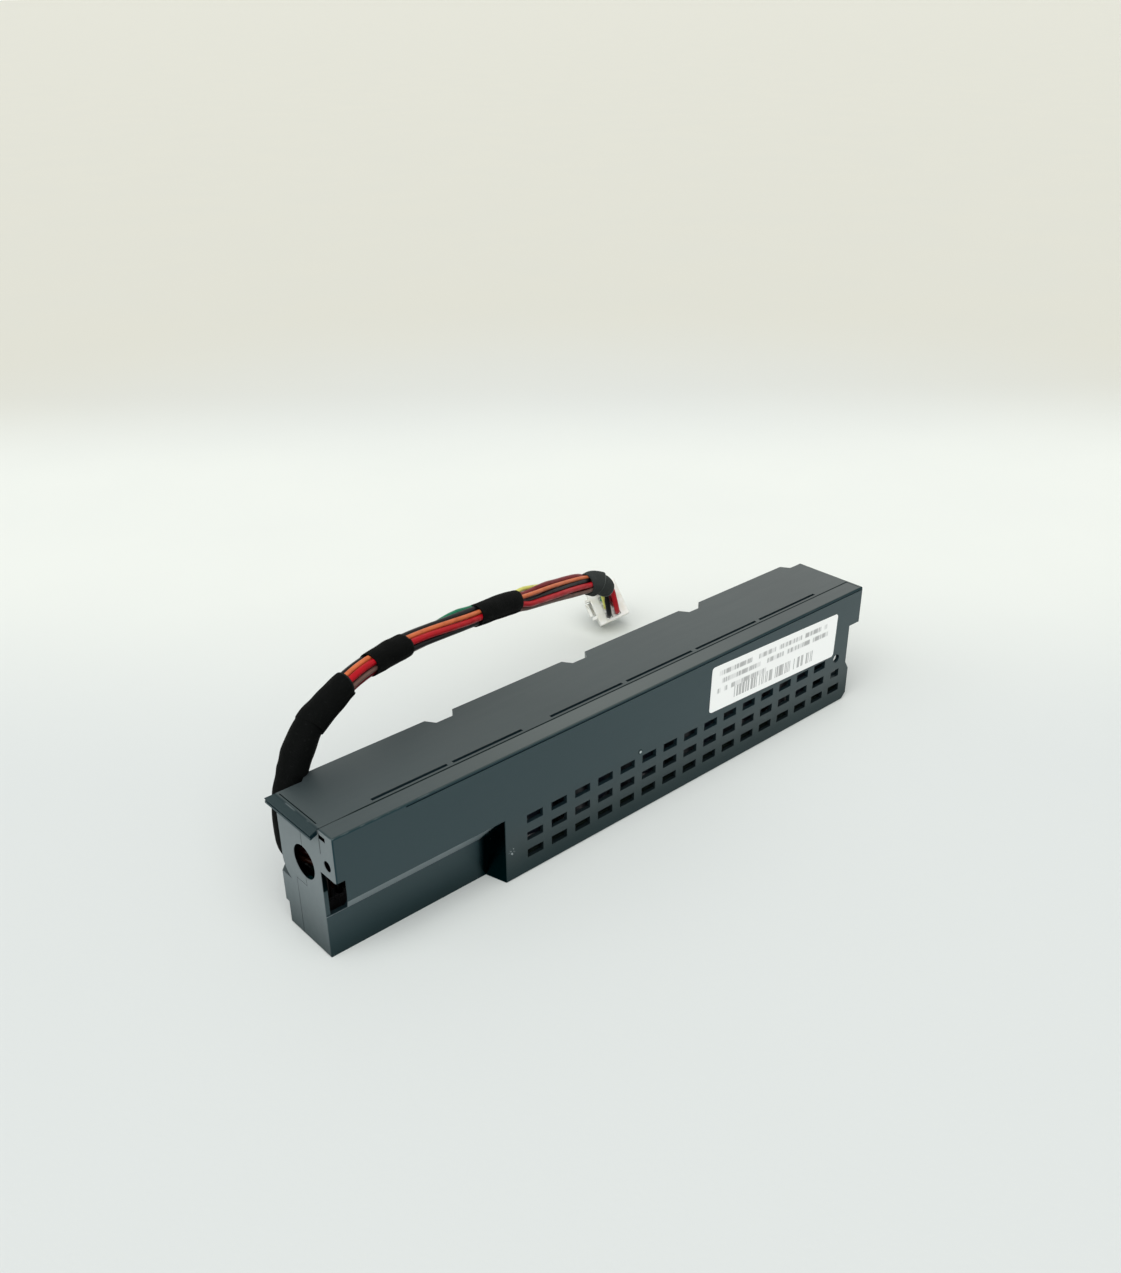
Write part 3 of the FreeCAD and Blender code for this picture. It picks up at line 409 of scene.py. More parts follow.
class Finish:
    """A material in the making: its nodes, its shader and what is the same all over it."""

    def __init__(self, name, **constants):
        self.material = bpy.data.materials.new(name)
        self.material.use_nodes = True
        self.tree = self.material.node_tree
        self.shader = self.tree.nodes["Principled BSDF"]
        for socket, value in constants.items():
            self.shader.inputs[socket.replace("_", " ")].default_value = value

    def node(self, kind, settings=None, values=None, output=0):
        """Adds any node: its settings first, then the values or links of its sockets."""
        made = self.tree.nodes.new(kind)
        for name, value in (settings or {}).items():
            setattr(made, name, value)
        for name, value in (values or {}).items():
            if isinstance(value, Socket):
                self.tree.links.new(value.output, made.inputs[name])
            else:
                made.inputs[name].default_value = value
        return Socket(self, made.outputs[output])

    def object_mm(self, centre=(0.0, 0.0, 0.0), turn=(0.0, 0.0, 0.0)):
        """Object coordinates in millimetres from a centre, turned with a piece that lies askew."""
        place = self.node("ShaderNodeTexCoord", output="Object")
        return self.node("ShaderNodeMapping", {"vector_type": "TEXTURE"},
                         {"Vector": place, "Location": centre, "Rotation": turn, "Scale": (MM, MM, MM)})

    def stretched(self, vector, scale):
        """Coordinates scaled differently along each axis, for lines and creases."""
        return self.node("ShaderNodeMapping", None, {"Vector": vector, "Scale": scale})

    def split(self, vector):
        """The three axes of a vector."""
        return [self.node("ShaderNodeSeparateXYZ", None, {"Vector": vector}, axis) for axis in range(3)]

    def noise(self, vector, scale, detail):
        """Cloudy noise from 0 to 1."""
        return self.node("ShaderNodeTexNoise", None, {"Vector": vector, "Scale": scale, "Detail": detail})

    def cells(self, vector, scale):
        """Distance from the nearest of many scattered points."""
        return self.node("ShaderNodeTexVoronoi", None, {"Vector": vector, "Scale": scale}, "Distance")

    def chance(self, value):
        """A fixed random number for each whole value."""
        whole = value.maths("FLOOR", value)
        return self.node("ShaderNodeTexWhiteNoise", {"noise_dimensions": "1D"}, {"W": whole})

    def fade(self, value, start, end):
        """0 at start and before it, 1 at end and beyond, smooth between them."""
        return self.node("ShaderNodeMapRange", {"interpolation_type": "SMOOTHSTEP"},
                         {"Value": value, "From Min": start, "From Max": end})

    def away(self, across, up, middle, height):
        """Distance from a spot."""
        aside, above = across - middle, up - height
        return aside.maths("SQRT", aside * aside + above * above)

    def band(self, value, low, high, soft=0.05):
        """1 between low and high, 0 outside them."""
        return self.fade(value, low - soft, low + soft) * self.fade(value, high + soft, high - soft)

    def mix(self, share, first, second):
        """One colour over another."""
        values = {0: share, MIX_FIRST: first, MIX_SECOND: second}
        for key in (MIX_FIRST, MIX_SECOND):
            if not isinstance(values[key], Socket):
                values[key] = (*values[key], 1.0)
        return self.node("ShaderNodeMix", {"data_type": "RGBA"}, values, MIX_RESULT)

    def set(self, **links):
        """Links what changes over the surface: Base_Color, Roughness, Metallic and so on."""
        for name, socket in links.items():
            self.tree.links.new(socket.output, self.shader.inputs[name.replace("_", " ")])
        return self.material

    def bump(self, height, depth, strength):
        """Relief: its depth in metres and how strongly it shows."""
        values = {"Height": height, "Distance": depth, "Strength": strength}
        return self.set(Normal=self.node("ShaderNodeBump", None, values))


def deselect():
    """Leaves nothing selected, so that an operator acts on the new piece only."""
    bpy.ops.object.select_all(action="DESELECT")


def dress(node, material):
    """Gives a CAD node its finish."""
    NODES[node].data.materials.clear()
    NODES[node].data.materials.append(material)


def edge_distance(x, y, z):
    """Distance from the nearest outer edge of the case."""
    insets = []
    for value, size in ((x, CASE_SIZE.x), (y, CASE_DEPTH), (z, CASE_SIZE.z)):
        insets.append(value.maths("MINIMUM", value, size - value))
    pairs = [a.maths("MAXIMUM", a, b) for a, b in zip(insets, insets[1:] + insets[:1])]
    return x.maths("MINIMUM", x.maths("MINIMUM", pairs[0], pairs[1]), pairs[2])


def recess_masks(finish, x, y, z):
    """The sloped top of the front recess, painted light as a painted reflection, and the corner at the
    recess's right end, painted near-black as painted shade.
    """
    level = y * (RECESS_SLOPE_HEIGHT / RECESS_DEPTH) + z
    slope = finish.band(level, RECESS_TOP - 0.25, RECESS_TOP + 0.25)
    slope = slope * finish.band(y, 0.15, RECESS_DEPTH - 0.1)
    slope = slope * finish.fade(x, RECESS_LENGTH + 0.2, RECESS_LENGTH - 6.0)
    # Painted shade: the corner at the recess's right end
    nook_shade = finish.fade(x, RECESS_LENGTH - 4.8, RECESS_LENGTH - 1.8)
    nook_shade = nook_shade * finish.fade(x, RECESS_LENGTH + 0.15, RECESS_LENGTH + 0.05)
    nook_shade = nook_shade * finish.band(y, 0.2, RECESS_DEPTH + 0.3)
    nook_shade = nook_shade * finish.fade(z, RECESS_TOP, RECESS_TOP - 0.5)
    return slope, nook_shade


def end_masks(finish, x, y, z):
    """The left end: its face and all that stands out from it, the matte face, painted pale as painted light,
    and the rims of its holes, painted near-black as painted shade.
    """
    end = finish.fade(x, 0.2, 0.08)
    matte = end * finish.fade(x, -0.3, -0.1)
    # Painted shade: the rims of the end's holes
    rim_shade = finish.band(x, 0.15, END_WALL) * finish.fade(y, 1.0, 1.4) * finish.fade(y, 23.5, 23.0)
    rim_shade = rim_shade * finish.fade(z, CASE_SIZE.z - 0.9, CASE_SIZE.z - 1.3)
    rim_shade = rim_shade * finish.fade(z, RECESS_TOP - 0.3, RECESS_TOP + 0.2)
    return end, matte, rim_shade


def case_plastic(look):
    """Dark satin plastic with a fine grain, rubbed edges, dust, a scuff and a dimple, with painted light and
    shade: a lighter upper front, a pale end, a lit sloped top, a sheen strip, a glint and near-black corners
    and rims.
    """
    finish = Finish("case_plastic", IOR=1.37, Specular_Tint=(0.34, 0.92, 1.0, 1.0), Coat_Roughness=0.45)
    place = finish.object_mm(CASE_CORNER)
    x, y, z = finish.split(place)
    edge = edge_distance(x, y, z)
    slope, nook_shade = recess_masks(finish, x, y, z)
    end, matte, rim_shade = end_masks(finish, x, y, z)
    front = finish.fade(y, 0.6, 0.2)
    lid = finish.fade(z, CASE_SIZE.z - 0.3, CASE_SIZE.z - 0.1)

    # Colours of the faces, with painted light on the front, the end and the sloped top, and painted shade in
    # the corner and on the rims
    cloud = finish.fade(finish.noise(place, 0.035, 4.0), 0.35, 0.68)
    colour = finish.mix(cloud, tuple(look.plastic), tuple(look.faded))
    # Painted light: the faces are painted lighter and bluer towards the top, the recess face from lower down,
    # darker towards the bottom
    inset = finish.band(y, RECESS_DEPTH - 1.0, RECESS_DEPTH + 1.0)
    inset = inset * finish.fade(x, RECESS_LENGTH + 0.2, RECESS_LENGTH)
    bluish_lit_front = finish.fade(z + inset * 8.0, 5.0, 22.0) * (1.0 - lid)
    colour = finish.mix(bluish_lit_front, colour, tuple(look.bluish_lit_front))
    colour = finish.mix(lid * finish.fade(x, 70.0, 10.0), colour, LID_SHADE)
    # Painted sheen: the strip of the lid in front of the top seam is painted lighter
    strip = lid * finish.fade(y, TOP_SEAM + 0.1, TOP_SEAM - 0.1) * finish.band(x, 40.0, 120.0, 40.0)
    colour = finish.mix(strip, colour, STRIP_SHEEN)
    # Painted light: the left end face painted pale, lighter towards the top
    wall = matte * finish.fade(z, -8.0, 24.0) * (1.0 - lid)
    colour = finish.mix(wall, colour, tuple(look.lit_pale_end))
    # Painted reflection: the sloped top of the recess painted light
    colour = finish.mix(slope, colour, tuple(look.slope))
    # Painted shade: the recess's right-end corner and the rims of the end's holes painted near-black
    colour = finish.mix(nook_shade * (1.0 - slope), colour, SHADE_AND_SEAM_BLACK)
    colour = finish.mix(rim_shade, colour, SHADE_AND_SEAM_BLACK)

    # Rubbed edges, dust, a scuff, painted shade in the dimple with a painted glint beside it, and the dark
    # seam along the top
    chipped = finish.fade(finish.noise(place, 0.22, 6.0), 0.50, 0.66)
    handled = finish.fade(x, 34.0, 22.0) * 0.8 + 0.2
    worn = finish.fade(edge, 0.34, 0.08) * chipped * handled * finish.fade(x, -0.2, -0.05)
    colour = finish.mix(worn * 0.55, colour, tuple(look.rubbed))
    dust = finish.fade(finish.cells(place, 0.16), 0.030, 0.012)
    lint = finish.fade(finish.noise(place, 0.05, 2.0), 0.52, 0.60)
    colour = finish.mix(dust * lint * 0.7, colour, tuple(look.rubbed))
    scuff = finish.fade(finish.away(x, z, *SCUFF_PLACE), 1.3, 0.7)
    scuff = scuff * finish.fade(finish.noise(place, 1.6, 3.0), 0.52, 0.62)
    # Painted shade in the dimple and a painted glint beside it
    dimple = finish.fade(finish.away(x, z, *DIMPLE_PLACE), 0.85, 0.65)
    glint = finish.fade(finish.away(x, z, *GLINT_PLACE), 0.50, 0.30)
    colour = finish.mix(scuff * front, colour, SCUFF_TONE)
    colour = finish.mix(dimple * front, colour, SHADE_AND_SEAM_BLACK)
    colour = finish.mix(glint * front, colour, GLINT_TONE)
    groove = lid * finish.band(y, TOP_SEAM - 0.15, TOP_SEAM + 0.4) * finish.fade(x, 4.0, 12.0)
    colour = finish.mix(groove, colour, SHADE_AND_SEAM_BLACK)

    # Grain and shine: the corner and rims in painted shade, the dimple and the grooves reflect nothing
    grain = finish.noise(place, 6.0, 2.0)
    waves = finish.noise(place, 0.12, 2.0)
    finish.bump(grain + waves * 2.0, look.grain, 0.55)
    wipe = finish.noise(finish.stretched(place, (0.05, 0.5, 0.5)), 1.0, 3.0)
    inner = finish.fade(edge, 0.15, 0.7)
    shine = finish.fade(z, 0.0, 13.0) * (1.0 - end) * (1.0 - nook_shade) * inner
    shine = shine * (1.0 - groove) * (1.0 - dimple * front) * (1.0 - rim_shade)
    pane = lid * (0.08 + finish.fade(x, 0.0, 190.0) * 0.22)
    rough = look.gloss + wipe * 0.14 + worn * 0.1 + matte * 0.2 + lid * 0.06 + (1.0 - inner) * 0.2
    # Metallic on the corner and rims in painted shade keeps them from reflecting, so they stay black
    return finish.set(Base_Color=colour, Coat_Weight=shine * (0.68 + pane), Metallic=nook_shade + rim_shade,
                      Roughness=rough - nook_shade * 0.3)


def label_paper(look):
    """White sticker with rows of grey strokes that spell nothing and a strip of plain bars."""
    low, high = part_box("label")
    finish = Finish("label_paper")
    place = finish.object_mm((low + high) / 2, (0.0, LABEL_TILT, 0.0))
    across, _, up = finish.split(place)
    left, right, bottom, top = LABEL_BARS
    printed = finish.band(up, bottom, top) * finish.band(across, left, right)
    printed = printed * finish.fade(finish.chance(across / 0.34), 0.45, 0.55) * 0.75
    for middle, left, right in LABEL_ROWS:
        row = finish.band(up, middle - 0.75, middle + 0.75, 0.25) * finish.band(across, left, right)
        blank = finish.fade(finish.chance(across / 1.5 + middle), 0.12, 0.16)
        stroke = finish.fade(finish.chance(across / 0.42 + 40.0 + middle), 0.35, 0.6)
        printed = printed + row * blank * (0.25 + stroke * 0.5)
    fibre = finish.noise(finish.stretched(place, (2.0, 2.0, 7.0)), 1.0, 4.0)
    paper = finish.mix(fibre * 0.25, tuple(look.paper), PAPER_SHADE)
    finish.bump(fibre, 0.00002, 0.4)
    return finish.set(Base_Color=finish.mix(printed, paper, tuple(look.ink)), Roughness=0.5 + fibre * 0.2)


def insulation(name, colour):
    """Smooth wire insulation with a little dirt along it, and painted shade inside the case."""
    finish = Finish(name, IOR=1.48, Specular_IOR_Level=0.13)
    place = finish.object_mm(CASE_CORNER)
    dirt = finish.fade(finish.noise(place, 0.35, 4.0), 0.45, 0.75)
    rub = finish.noise(place, 2.5, 2.0)
    dull = tuple(channel * 0.62 + 0.004 for channel in colour)
    # Painted shade: inside the case the wires are painted nearly black
    inside_shade = tuple(channel * 0.04 for channel in colour)
    x, y, _ = finish.split(place)
    inside = finish.fade(y, CASE_DEPTH, CASE_DEPTH - 3.0) * finish.fade(x, 20.0, 14.0)
    shade = finish.mix(inside, finish.mix(dirt * 0.6, tuple(colour), dull), inside_shade)
    finish.bump(rub, 0.00003, 0.5)
    return finish.set(Base_Color=shade, Roughness=0.30 + dirt * 0.2)


def cloth_tape(name, tone, frayed):
    """Cloth tape: its weave follows the strip's own length and width, and its cut end can be frayed."""
    finish = Finish(name, Specular_IOR_Level=0.04)
    strip = finish.node("ShaderNodeUVMap", {"uv_map": "strip"})
    along, around, _ = finish.split(strip)
    warp = along.maths("SINE", along * (math.tau / WEAVE_PITCH))
    weft = around.maths("SINE", around * (math.tau / WEAVE_PITCH))
    weave = warp * weft
    place = finish.object_mm(CASE_CORNER)
    lint = finish.fade(finish.noise(place, 1.4, 5.0), 0.58, 0.72)
    worn = finish.noise(place, 0.25, 3.0)
    fluff = tuple(channel * 2.0 + 0.005 for channel in tone)
    thread = tuple(channel * 2.0 + 0.002 for channel in tone)
    colour = finish.mix(lint * 0.5, tone, fluff)
    colour = finish.mix(finish.fade(weave, 0.2, 1.0) * 0.3, colour, thread)
    colour = finish.mix(finish.fade(along, -0.55, -0.2) * frayed, colour, FRAYED_TONE)
    finish.bump(weave + finish.noise(place, 0.6, 3.0) * 3.0, 0.00006, 0.8)
    return finish.set(Base_Color=colour, Roughness=0.62 + worn * 0.2)


def nylon(name, colour):
    """Moulded natural nylon, a little cloudy."""
    finish = Finish(name, Subsurface_Weight=0.12, Subsurface_Radius=(0.002, 0.002, 0.0017), IOR=1.52)
    place = finish.object_mm(CASE_CORNER)
    cloud = finish.noise(place, 0.3, 3.0)
    aged = tuple(channel * share for channel, share in zip(colour, NYLON_AGEING))
    finish.bump(finish.noise(place, 4.0, 2.0), 0.00002, 0.5)
    return finish.set(Base_Color=finish.mix(finish.fade(cloud, 0.4, 0.75), tuple(colour), aged),
                      Roughness=0.34 + cloud * 0.15)


def metal(name, colour, rough, scale):
    """Drawn or plated metal with fine lines and dull patches."""
    finish = Finish(name)
    place = finish.object_mm(CASE_CORNER)
    lines = finish.noise(finish.stretched(place, scale), 1.0, 3.0)
    patch = finish.fade(finish.noise(place, 0.5, 3.0), 0.4, 0.7)
    dull = tuple(channel * 0.72 for channel in colour)
    finish.bump(lines, 0.00001, 0.4)
    return finish.set(Base_Color=finish.mix(patch * 0.6, colour, dull), Metallic=1.0 - patch * 0.08,
                      Roughness=rough + lines * 0.2)


def board_laminate():
    """Black solder mask with copper tracks showing through it and flecks of the weave."""
    finish = Finish("board_laminate", Coat_Roughness=0.2)
    place = finish.object_mm(CASE_CORNER)
    x, y, _ = finish.split(place)
    lane = finish.chance(y / TRACK_PITCH)
    run = finish.chance(x / TRACK_RUN + lane * 50.0)
    track = finish.band(y.maths("FRACT", y / TRACK_PITCH), 0.3, 0.75, 0.06) * finish.fade(run, 0.45, 0.5)
    fleck = finish.noise(place, 1.5, 3.0)
    colour = finish.mix(track, SOLDER_MASK, MASKED_TRACK)
    colour = finish.mix(fleck * 0.3, colour, MASK_FLECK)
    finish.bump(track, 0.00004, 0.8)
    return finish.set(Base_Color=colour, Roughness=0.28 + fleck * 0.15, Coat_Weight=0.2 + fleck * 0.2)


def cell_sleeve():
    """Shrink sleeve with a pale stripe down one side, and the bare can where its top is open."""
    low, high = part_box("capacitor_cell_1")
    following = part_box("capacitor_cell_2")[0]
    pitch = (following.x - low.x) / MM
    radius = (high.x - low.x) / 2 / MM
    finish = Finish("cell_sleeve", IOR=1.5)
    place = finish.object_mm(Vector((low.x, (low.y + high.y) / 2, high.z)))
    x, y, z = finish.split(place)
    side = (x / pitch).maths("FRACT", x / pitch) * pitch - radius
    away = x.maths("SQRT", side * side + y * y)
    bare = finish.fade(z, -0.7, -0.5) * finish.fade(away, radius - 1.6, radius - 1.9)
    stripe = finish.band(side, -1.6, 1.6, 0.1) * finish.fade(y, 0.0, 0.5)
    crease = finish.noise(finish.stretched(place, (1.2, 1.2, 0.08)), 1.0, 3.0)
    colour = finish.mix(crease * 0.5, SLEEVE_TONE, SLEEVE_CREASE)
    colour = finish.mix(stripe, colour, SLEEVE_STRIPE)
    colour = finish.mix(bare, colour, BARE_CAN)
    finish.bump(crease, 0.00008, 0.5)
    return finish.set(Base_Color=colour, Metallic=bare, Roughness=0.26 + crease * 0.2)


def foam():
    """Open cell foam, painted darker in its pores as painted shade."""
    finish = Finish("foam")
    place = finish.object_mm(CASE_CORNER)
    pores = finish.cells(place, 1.8)
    finish.bump(pores, 0.0004, 1.0)
    # Painted shade in the pores
    colour = finish.mix(finish.fade(pores, 0.2, 0.6), FOAM_PORE_SHADE, FOAM_WALL)
    return finish.set(Base_Color=colour, Roughness=0.85 + pores * 0.1)


def mould(name):
    """Matte moulded body with a sandy speckle."""
    tone, speckle, scale = MOULDED[name]
    finish = Finish(name)
    place = finish.object_mm(CASE_CORNER)
    sand = finish.noise(place, scale, 4.0)
    finish.bump(sand, 0.00004, 0.6)
    colour = finish.mix(finish.fade(sand, 0.35, 0.75), tone, speckle)
    return finish.set(Base_Color=colour, Roughness=0.5 + sand * 0.25)


def table_top(look):
    """Pale table with faint scratches and specks, warmer towards its far end, and a painted pool of light
    behind the module.
    """
    finish = Finish("table_top", Specular_IOR_Level=0.3)
    place = finish.object_mm()
    x, y, _ = finish.split(place)
    away = x.maths("SQRT", x * x + y * y)
    far = finish.fade(away, 220.0, 620.0)
    colour = finish.mix(far, tuple(look.floor), tuple(look.backdrop))
    behind = x * CAMERA_FORWARD.x + y * CAMERA_FORWARD.y
    # Painted light: a brighter band of the table behind the module
    colour = finish.mix(finish.band(behind, 70.0, 290.0, 70.0) * 0.9, colour, tuple(look.painted_light_patch))
    haze = finish.noise(place, 0.012, 3.0)
    colour = finish.mix(haze * 0.22, colour, tuple(channel * 0.93 for channel in look.floor))
    bent = finish.noise(place, 0.02, 2.0) * 26.0
    for slant, offset, start, end in SCRATCHES:
        line = x.maths("ABSOLUTE", y * slant + x - offset - bent)
        scratch = finish.fade(line, 0.55, 0.15) * finish.band(x, start, end, 25.0)
        colour = finish.mix(scratch * 0.28, colour, SCRATCH_TONE)
    speck = finish.fade(finish.cells(place, 0.022), 0.020, 0.008)
    few = finish.fade(finish.noise(place, 0.008, 1.0), 0.55, 0.62)
    colour = finish.mix(speck * few * 0.5, colour, SPECK_TONE)
    finish.bump(finish.noise(place, 0.8, 3.0), 0.0001, 0.25)
    return finish.set(Base_Color=colour, Roughness=0.55 + haze * 0.15)


class HarnessLine:
    """The harness's smooth line: points read from its spline, and a frame along it that doesn't twist."""

    def __init__(self):
        low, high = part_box("harness_header")
        start = Vector(((low.x + high.x) / 2, (low.y + high.y) / 2, high.z))
        curve = bpy.data.curves.new("harness_line", "CURVE")
        curve.dimensions = "3D"
        spline = curve.splines.new("NURBS")
        spline.points.add(len(ROUTE) - 1)
        for point, offset in zip(spline.points, ROUTE):
            point.co = (*(start + Vector(offset) * MM), 1.0)
        spline.order_u = 3
        spline.use_endpoint_u = True
        spline.resolution_u = ROUTE_STEPS
        carrier = bpy.data.objects.new("harness_line", curve)
        mesh = bpy.data.meshes.new_from_object(carrier)
        self.points = [vertex.co.copy() for vertex in mesh.vertices]
        bpy.data.meshes.remove(mesh)
        bpy.data.objects.remove(carrier)
        bpy.data.curves.remove(curve)
        self.along = [ROUTE_START]
        for before, after in zip(self.points, self.points[1:]):
            self.along.append(self.along[-1] + (after - before).length / MM)
        self.length = self.along[-1]
        last = len(self.points) - 1
        self.ways = []
        for i in range(last + 1):
            ahead, behind = self.points[min(i + 1, last)], self.points[max(i - 1, 0)]
            self.ways.append((ahead - behind).normalized())
        self.facing = [None] * (last + 1)
        middle = min(range(last + 1), key=lambda i: abs(self.along[i] - FACING_DISTANCE))
        view = -CAMERA_FORWARD
        self.facing[middle] = (view - self.ways[middle] * view.dot(self.ways[middle])).normalized()
        for step, stop in ((1, last + 1), (-1, -1)):
            for i in range(middle + step, stop, step):
                turn = self.ways[i - step].rotation_difference(self.ways[i])
                self.facing[i] = turn @ self.facing[i - step]

    def at(self, distance):
        """Place at a distance, with the direction that faces the camera and the one raised across it."""
        distance = min(max(distance, ROUTE_START), self.length)
        i = next(k for k in range(1, len(self.along)) if self.along[k] >= distance - 1e-9)
        share = (distance - self.along[i - 1]) / (self.along[i] - self.along[i - 1])
        place = self.points[i - 1].lerp(self.points[i], share)
        way = self.ways[i - 1].lerp(self.ways[i], share).normalized()
        facing = self.facing[i - 1].lerp(self.facing[i], share)
        facing = (facing - way * facing.dot(way)).normalized()
        return place, facing, facing.cross(way)


def between(table, distance):
    """Values of a table at one distance; its first column holds the distances."""
    low = high = table[0]
    for row in table:
        low, high = high, row
        if distance <= row[0]:
            break
    share = 1.0 if high[0] == low[0] else min(max((distance - low[0]) / (high[0] - low[0]), 0.0), 1.0)
    return [first + (second - first) * ease(share) for first, second in zip(low[1:], high[1:])]


def ease(value):
    """0 to 1 with a gentle start and end."""
    value = min(max(value, 0.0), 1.0)
    return value * value * (3 - 2 * value)


def wire_points(line, look, index):
    """Middle line of one wire: round the bundle, fanned out at the header and into its hole in the plug."""
    name, _, angle, hole = WIRES[index]
    along_rows = WIRE_SIDE.cross(ACROSS_ROWS).normalized()
    across = along_rows.cross(WIRE_SIDE)
    in_plug = (across * hole[0] + along_rows * hole[1]) * PLUG_PITCH * MM
    on_header = Vector((hole[0] * HEADER_ROW_PITCH, -hole[1] * HEADER_PIN_PITCH, 0.0)) * MM
    places = []
    for distance in line.along:
        place, facing, raised = line.at(distance)
        share, aside = between(WANDER[name], distance)
        turn = math.radians(angle + aside + between(TWIST, distance)[0])
        waver = noise.noise(Vector((distance * WAVER_RATE, index * WAVER_SEED, 0.0)))
        reach = look.ring * share + waver * WIRE_WAVER * MM
        offset = facing * (math.cos(turn) * reach) + raised * (math.sin(turn) * reach)
        offset = on_header.lerp(offset, ease(distance / HEADER_SPREAD))
        offset = offset.lerp(in_plug, ease((distance - line.length + PLUG_SPREAD) / (PLUG_SPREAD - 1.0)))
        places.append(place + offset)
    places.append(line.points[-1] + in_plug - WIRE_SIDE * WIRE_SEAT * MM)
    return places


def draw_wire(name, places, radius, material):
    """A round wire along its middle line, as a mesh."""
    curve = bpy.data.curves.new(name, "CURVE")
    curve.dimensions = "3D"
    spline = curve.splines.new("POLY")
    spline.points.add(len(places) - 1)
    for point, place in zip(spline.points, places):
        point.co = (*place, 1.0)
    spline.use_smooth = True
    curve.bevel_depth = radius
    curve.bevel_resolution = 3
    curve.use_fill_caps = True
    wire = bpy.data.objects.new(name, curve)
    bpy.context.scene.collection.objects.link(wire)
    wire.data.materials.append(material)
    deselect()
    wire.select_set(True)
    bpy.context.view_layer.objects.active = wire
    bpy.ops.object.convert(target="MESH")
    return bpy.context.object


def roll_tape(line, look, row, material):
    """A strip of tape rolled round the harness, with a lap down its side and slightly uneven ends."""
    _, start, end, lap, slant, deep, wide, radii = row
    rows = max(16, round((end - start) / TAPE_ROW))
    deselect()
    bpy.ops.mesh.primitive_grid_add(x_subdivisions=rows, y_subdivisions=TAPE_FACES, size=2.0)
    strip = bpy.context.object
    strip.data.uv_layers[0].name = "strip"
    seed = start * 0.37
    placed = []
    for vertex in strip.data.vertices:
        share = (vertex.co.x + 1) / 2
        turn = (vertex.co.y + 1) / 2
        angle = math.radians(lap) + turn * TAPE_TURNS * math.tau
        ragged = noise.noise(Vector((turn * 5.0, seed, 4.0))) * TAPE_RAGGED * (2 * share - 1)
        distance = start + (end - start) * share + ragged + slant * math.sin(angle) * share
        place, facing, raised = line.at(distance)
        radius, off = between(radii, distance)
        radius += look.tape_thickness / MM * TAPE_TURNS * turn
        creases = noise.noise(Vector((math.cos(angle) * 1.3 + seed, math.sin(angle) * 1.3, share * 4.0)))
        radius += creases * TAPE_CREASE
        radius -= TAPE_DRAW_IN * (2 * share - 1) ** 4
        offset = facing * (math.cos(angle) * radius * deep) + raised * (math.sin(angle) * radius * wide + off)
        on_strip = ((share - 1) * (end - start), turn * TAPE_TURNS * math.tau * radius)
        placed.append((place + offset * MM, on_strip))
    for loop in strip.data.loops:
        strip.data.uv_layers["strip"].data[loop.index].uv = placed[loop.vertex_index][1]
    for vertex, (place, _) in zip(strip.data.vertices, placed):
        vertex.co = place
    wall = strip.modifiers.new("thickness", "SOLIDIFY")
    wall.thickness = look.tape_thickness
    wall.offset = 0.0
    bpy.ops.object.modifier_apply(modifier=wall.name)
    bpy.ops.object.mode_set(mode="EDIT")
    bpy.ops.mesh.select_all(action="SELECT")
    bpy.ops.mesh.normals_make_consistent(inside=False)
    bpy.ops.object.mode_set(mode="OBJECT")
    bpy.ops.object.shade_smooth_by_angle(angle=math.radians(40))
    strip.data.materials.append(material)
    return strip


def join(pieces, name):
    """One object of several."""
    deselect()
    for piece in pieces:
        piece.select_set(True)
    bpy.context.view_layer.objects.active = pieces[0]
    if len(pieces) > 1:
        bpy.ops.object.join()
    joined = bpy.context.object
    joined.name = name
    joined.data.name = name
    return joined


class MODULE_OT_case(bpy.types.Operator):
    """Finishes the two moulded shells."""

    bl_idname = "module.case"
    bl_label = "Case"

    def execute(self, context):
        plastic = case_plastic(context.scene.module_case)
        for node in ("front_shell", "rear_shell"):
            dress(node, plastic)
        return {"FINISHED"}


class MODULE_OT_label(bpy.types.Operator):
    """Finishes the sticker on the front."""

    bl_idname = "module.label"
    bl_label = "Label"

    def execute(self, context):
        dress("label", label_paper(context.scene.module_label))
        return {"FINISHED"}


class MODULE_OT_board(bpy.types.Operator):
    """Finishes the board, its screws and the charging circuit."""

    bl_idname = "module.board"
    bl_label = "Board"

    def execute(self, context):
        epoxy = mould("chip_epoxy")
        sleeve = mould("filter_sleeve")
        dress("control_board", board_laminate())
        dress("board_screws", metal("screw_steel", SCREW_STEEL, 0.28, (3.0, 3.0, 3.0)))
        dress("charge_inductor", mould("ferrite"))
        dress("harness_header", mould("header_nylon"))
        for node in ("power_switches", "controller_chip"):
            dress(node, epoxy)
        for node in ("filter_capacitor_1", "filter_capacitor_2"):
            dress(node, sleeve)
        return {"FINISHED"}


class MODULE_OT_cells(bpy.types.Operator):
    """Finishes the storage cells and the foam that holds them down."""

    bl_idname = "module.cells"
    bl_label = "Storage Cells"

    def execute(self, context):
        sleeve = cell_sleeve()
        for node in NODES:
            if node.startswith("capacitor_cell"):
                dress(node, sleeve)
        dress("foam_pad", foam())
        return {"FINISHED"}


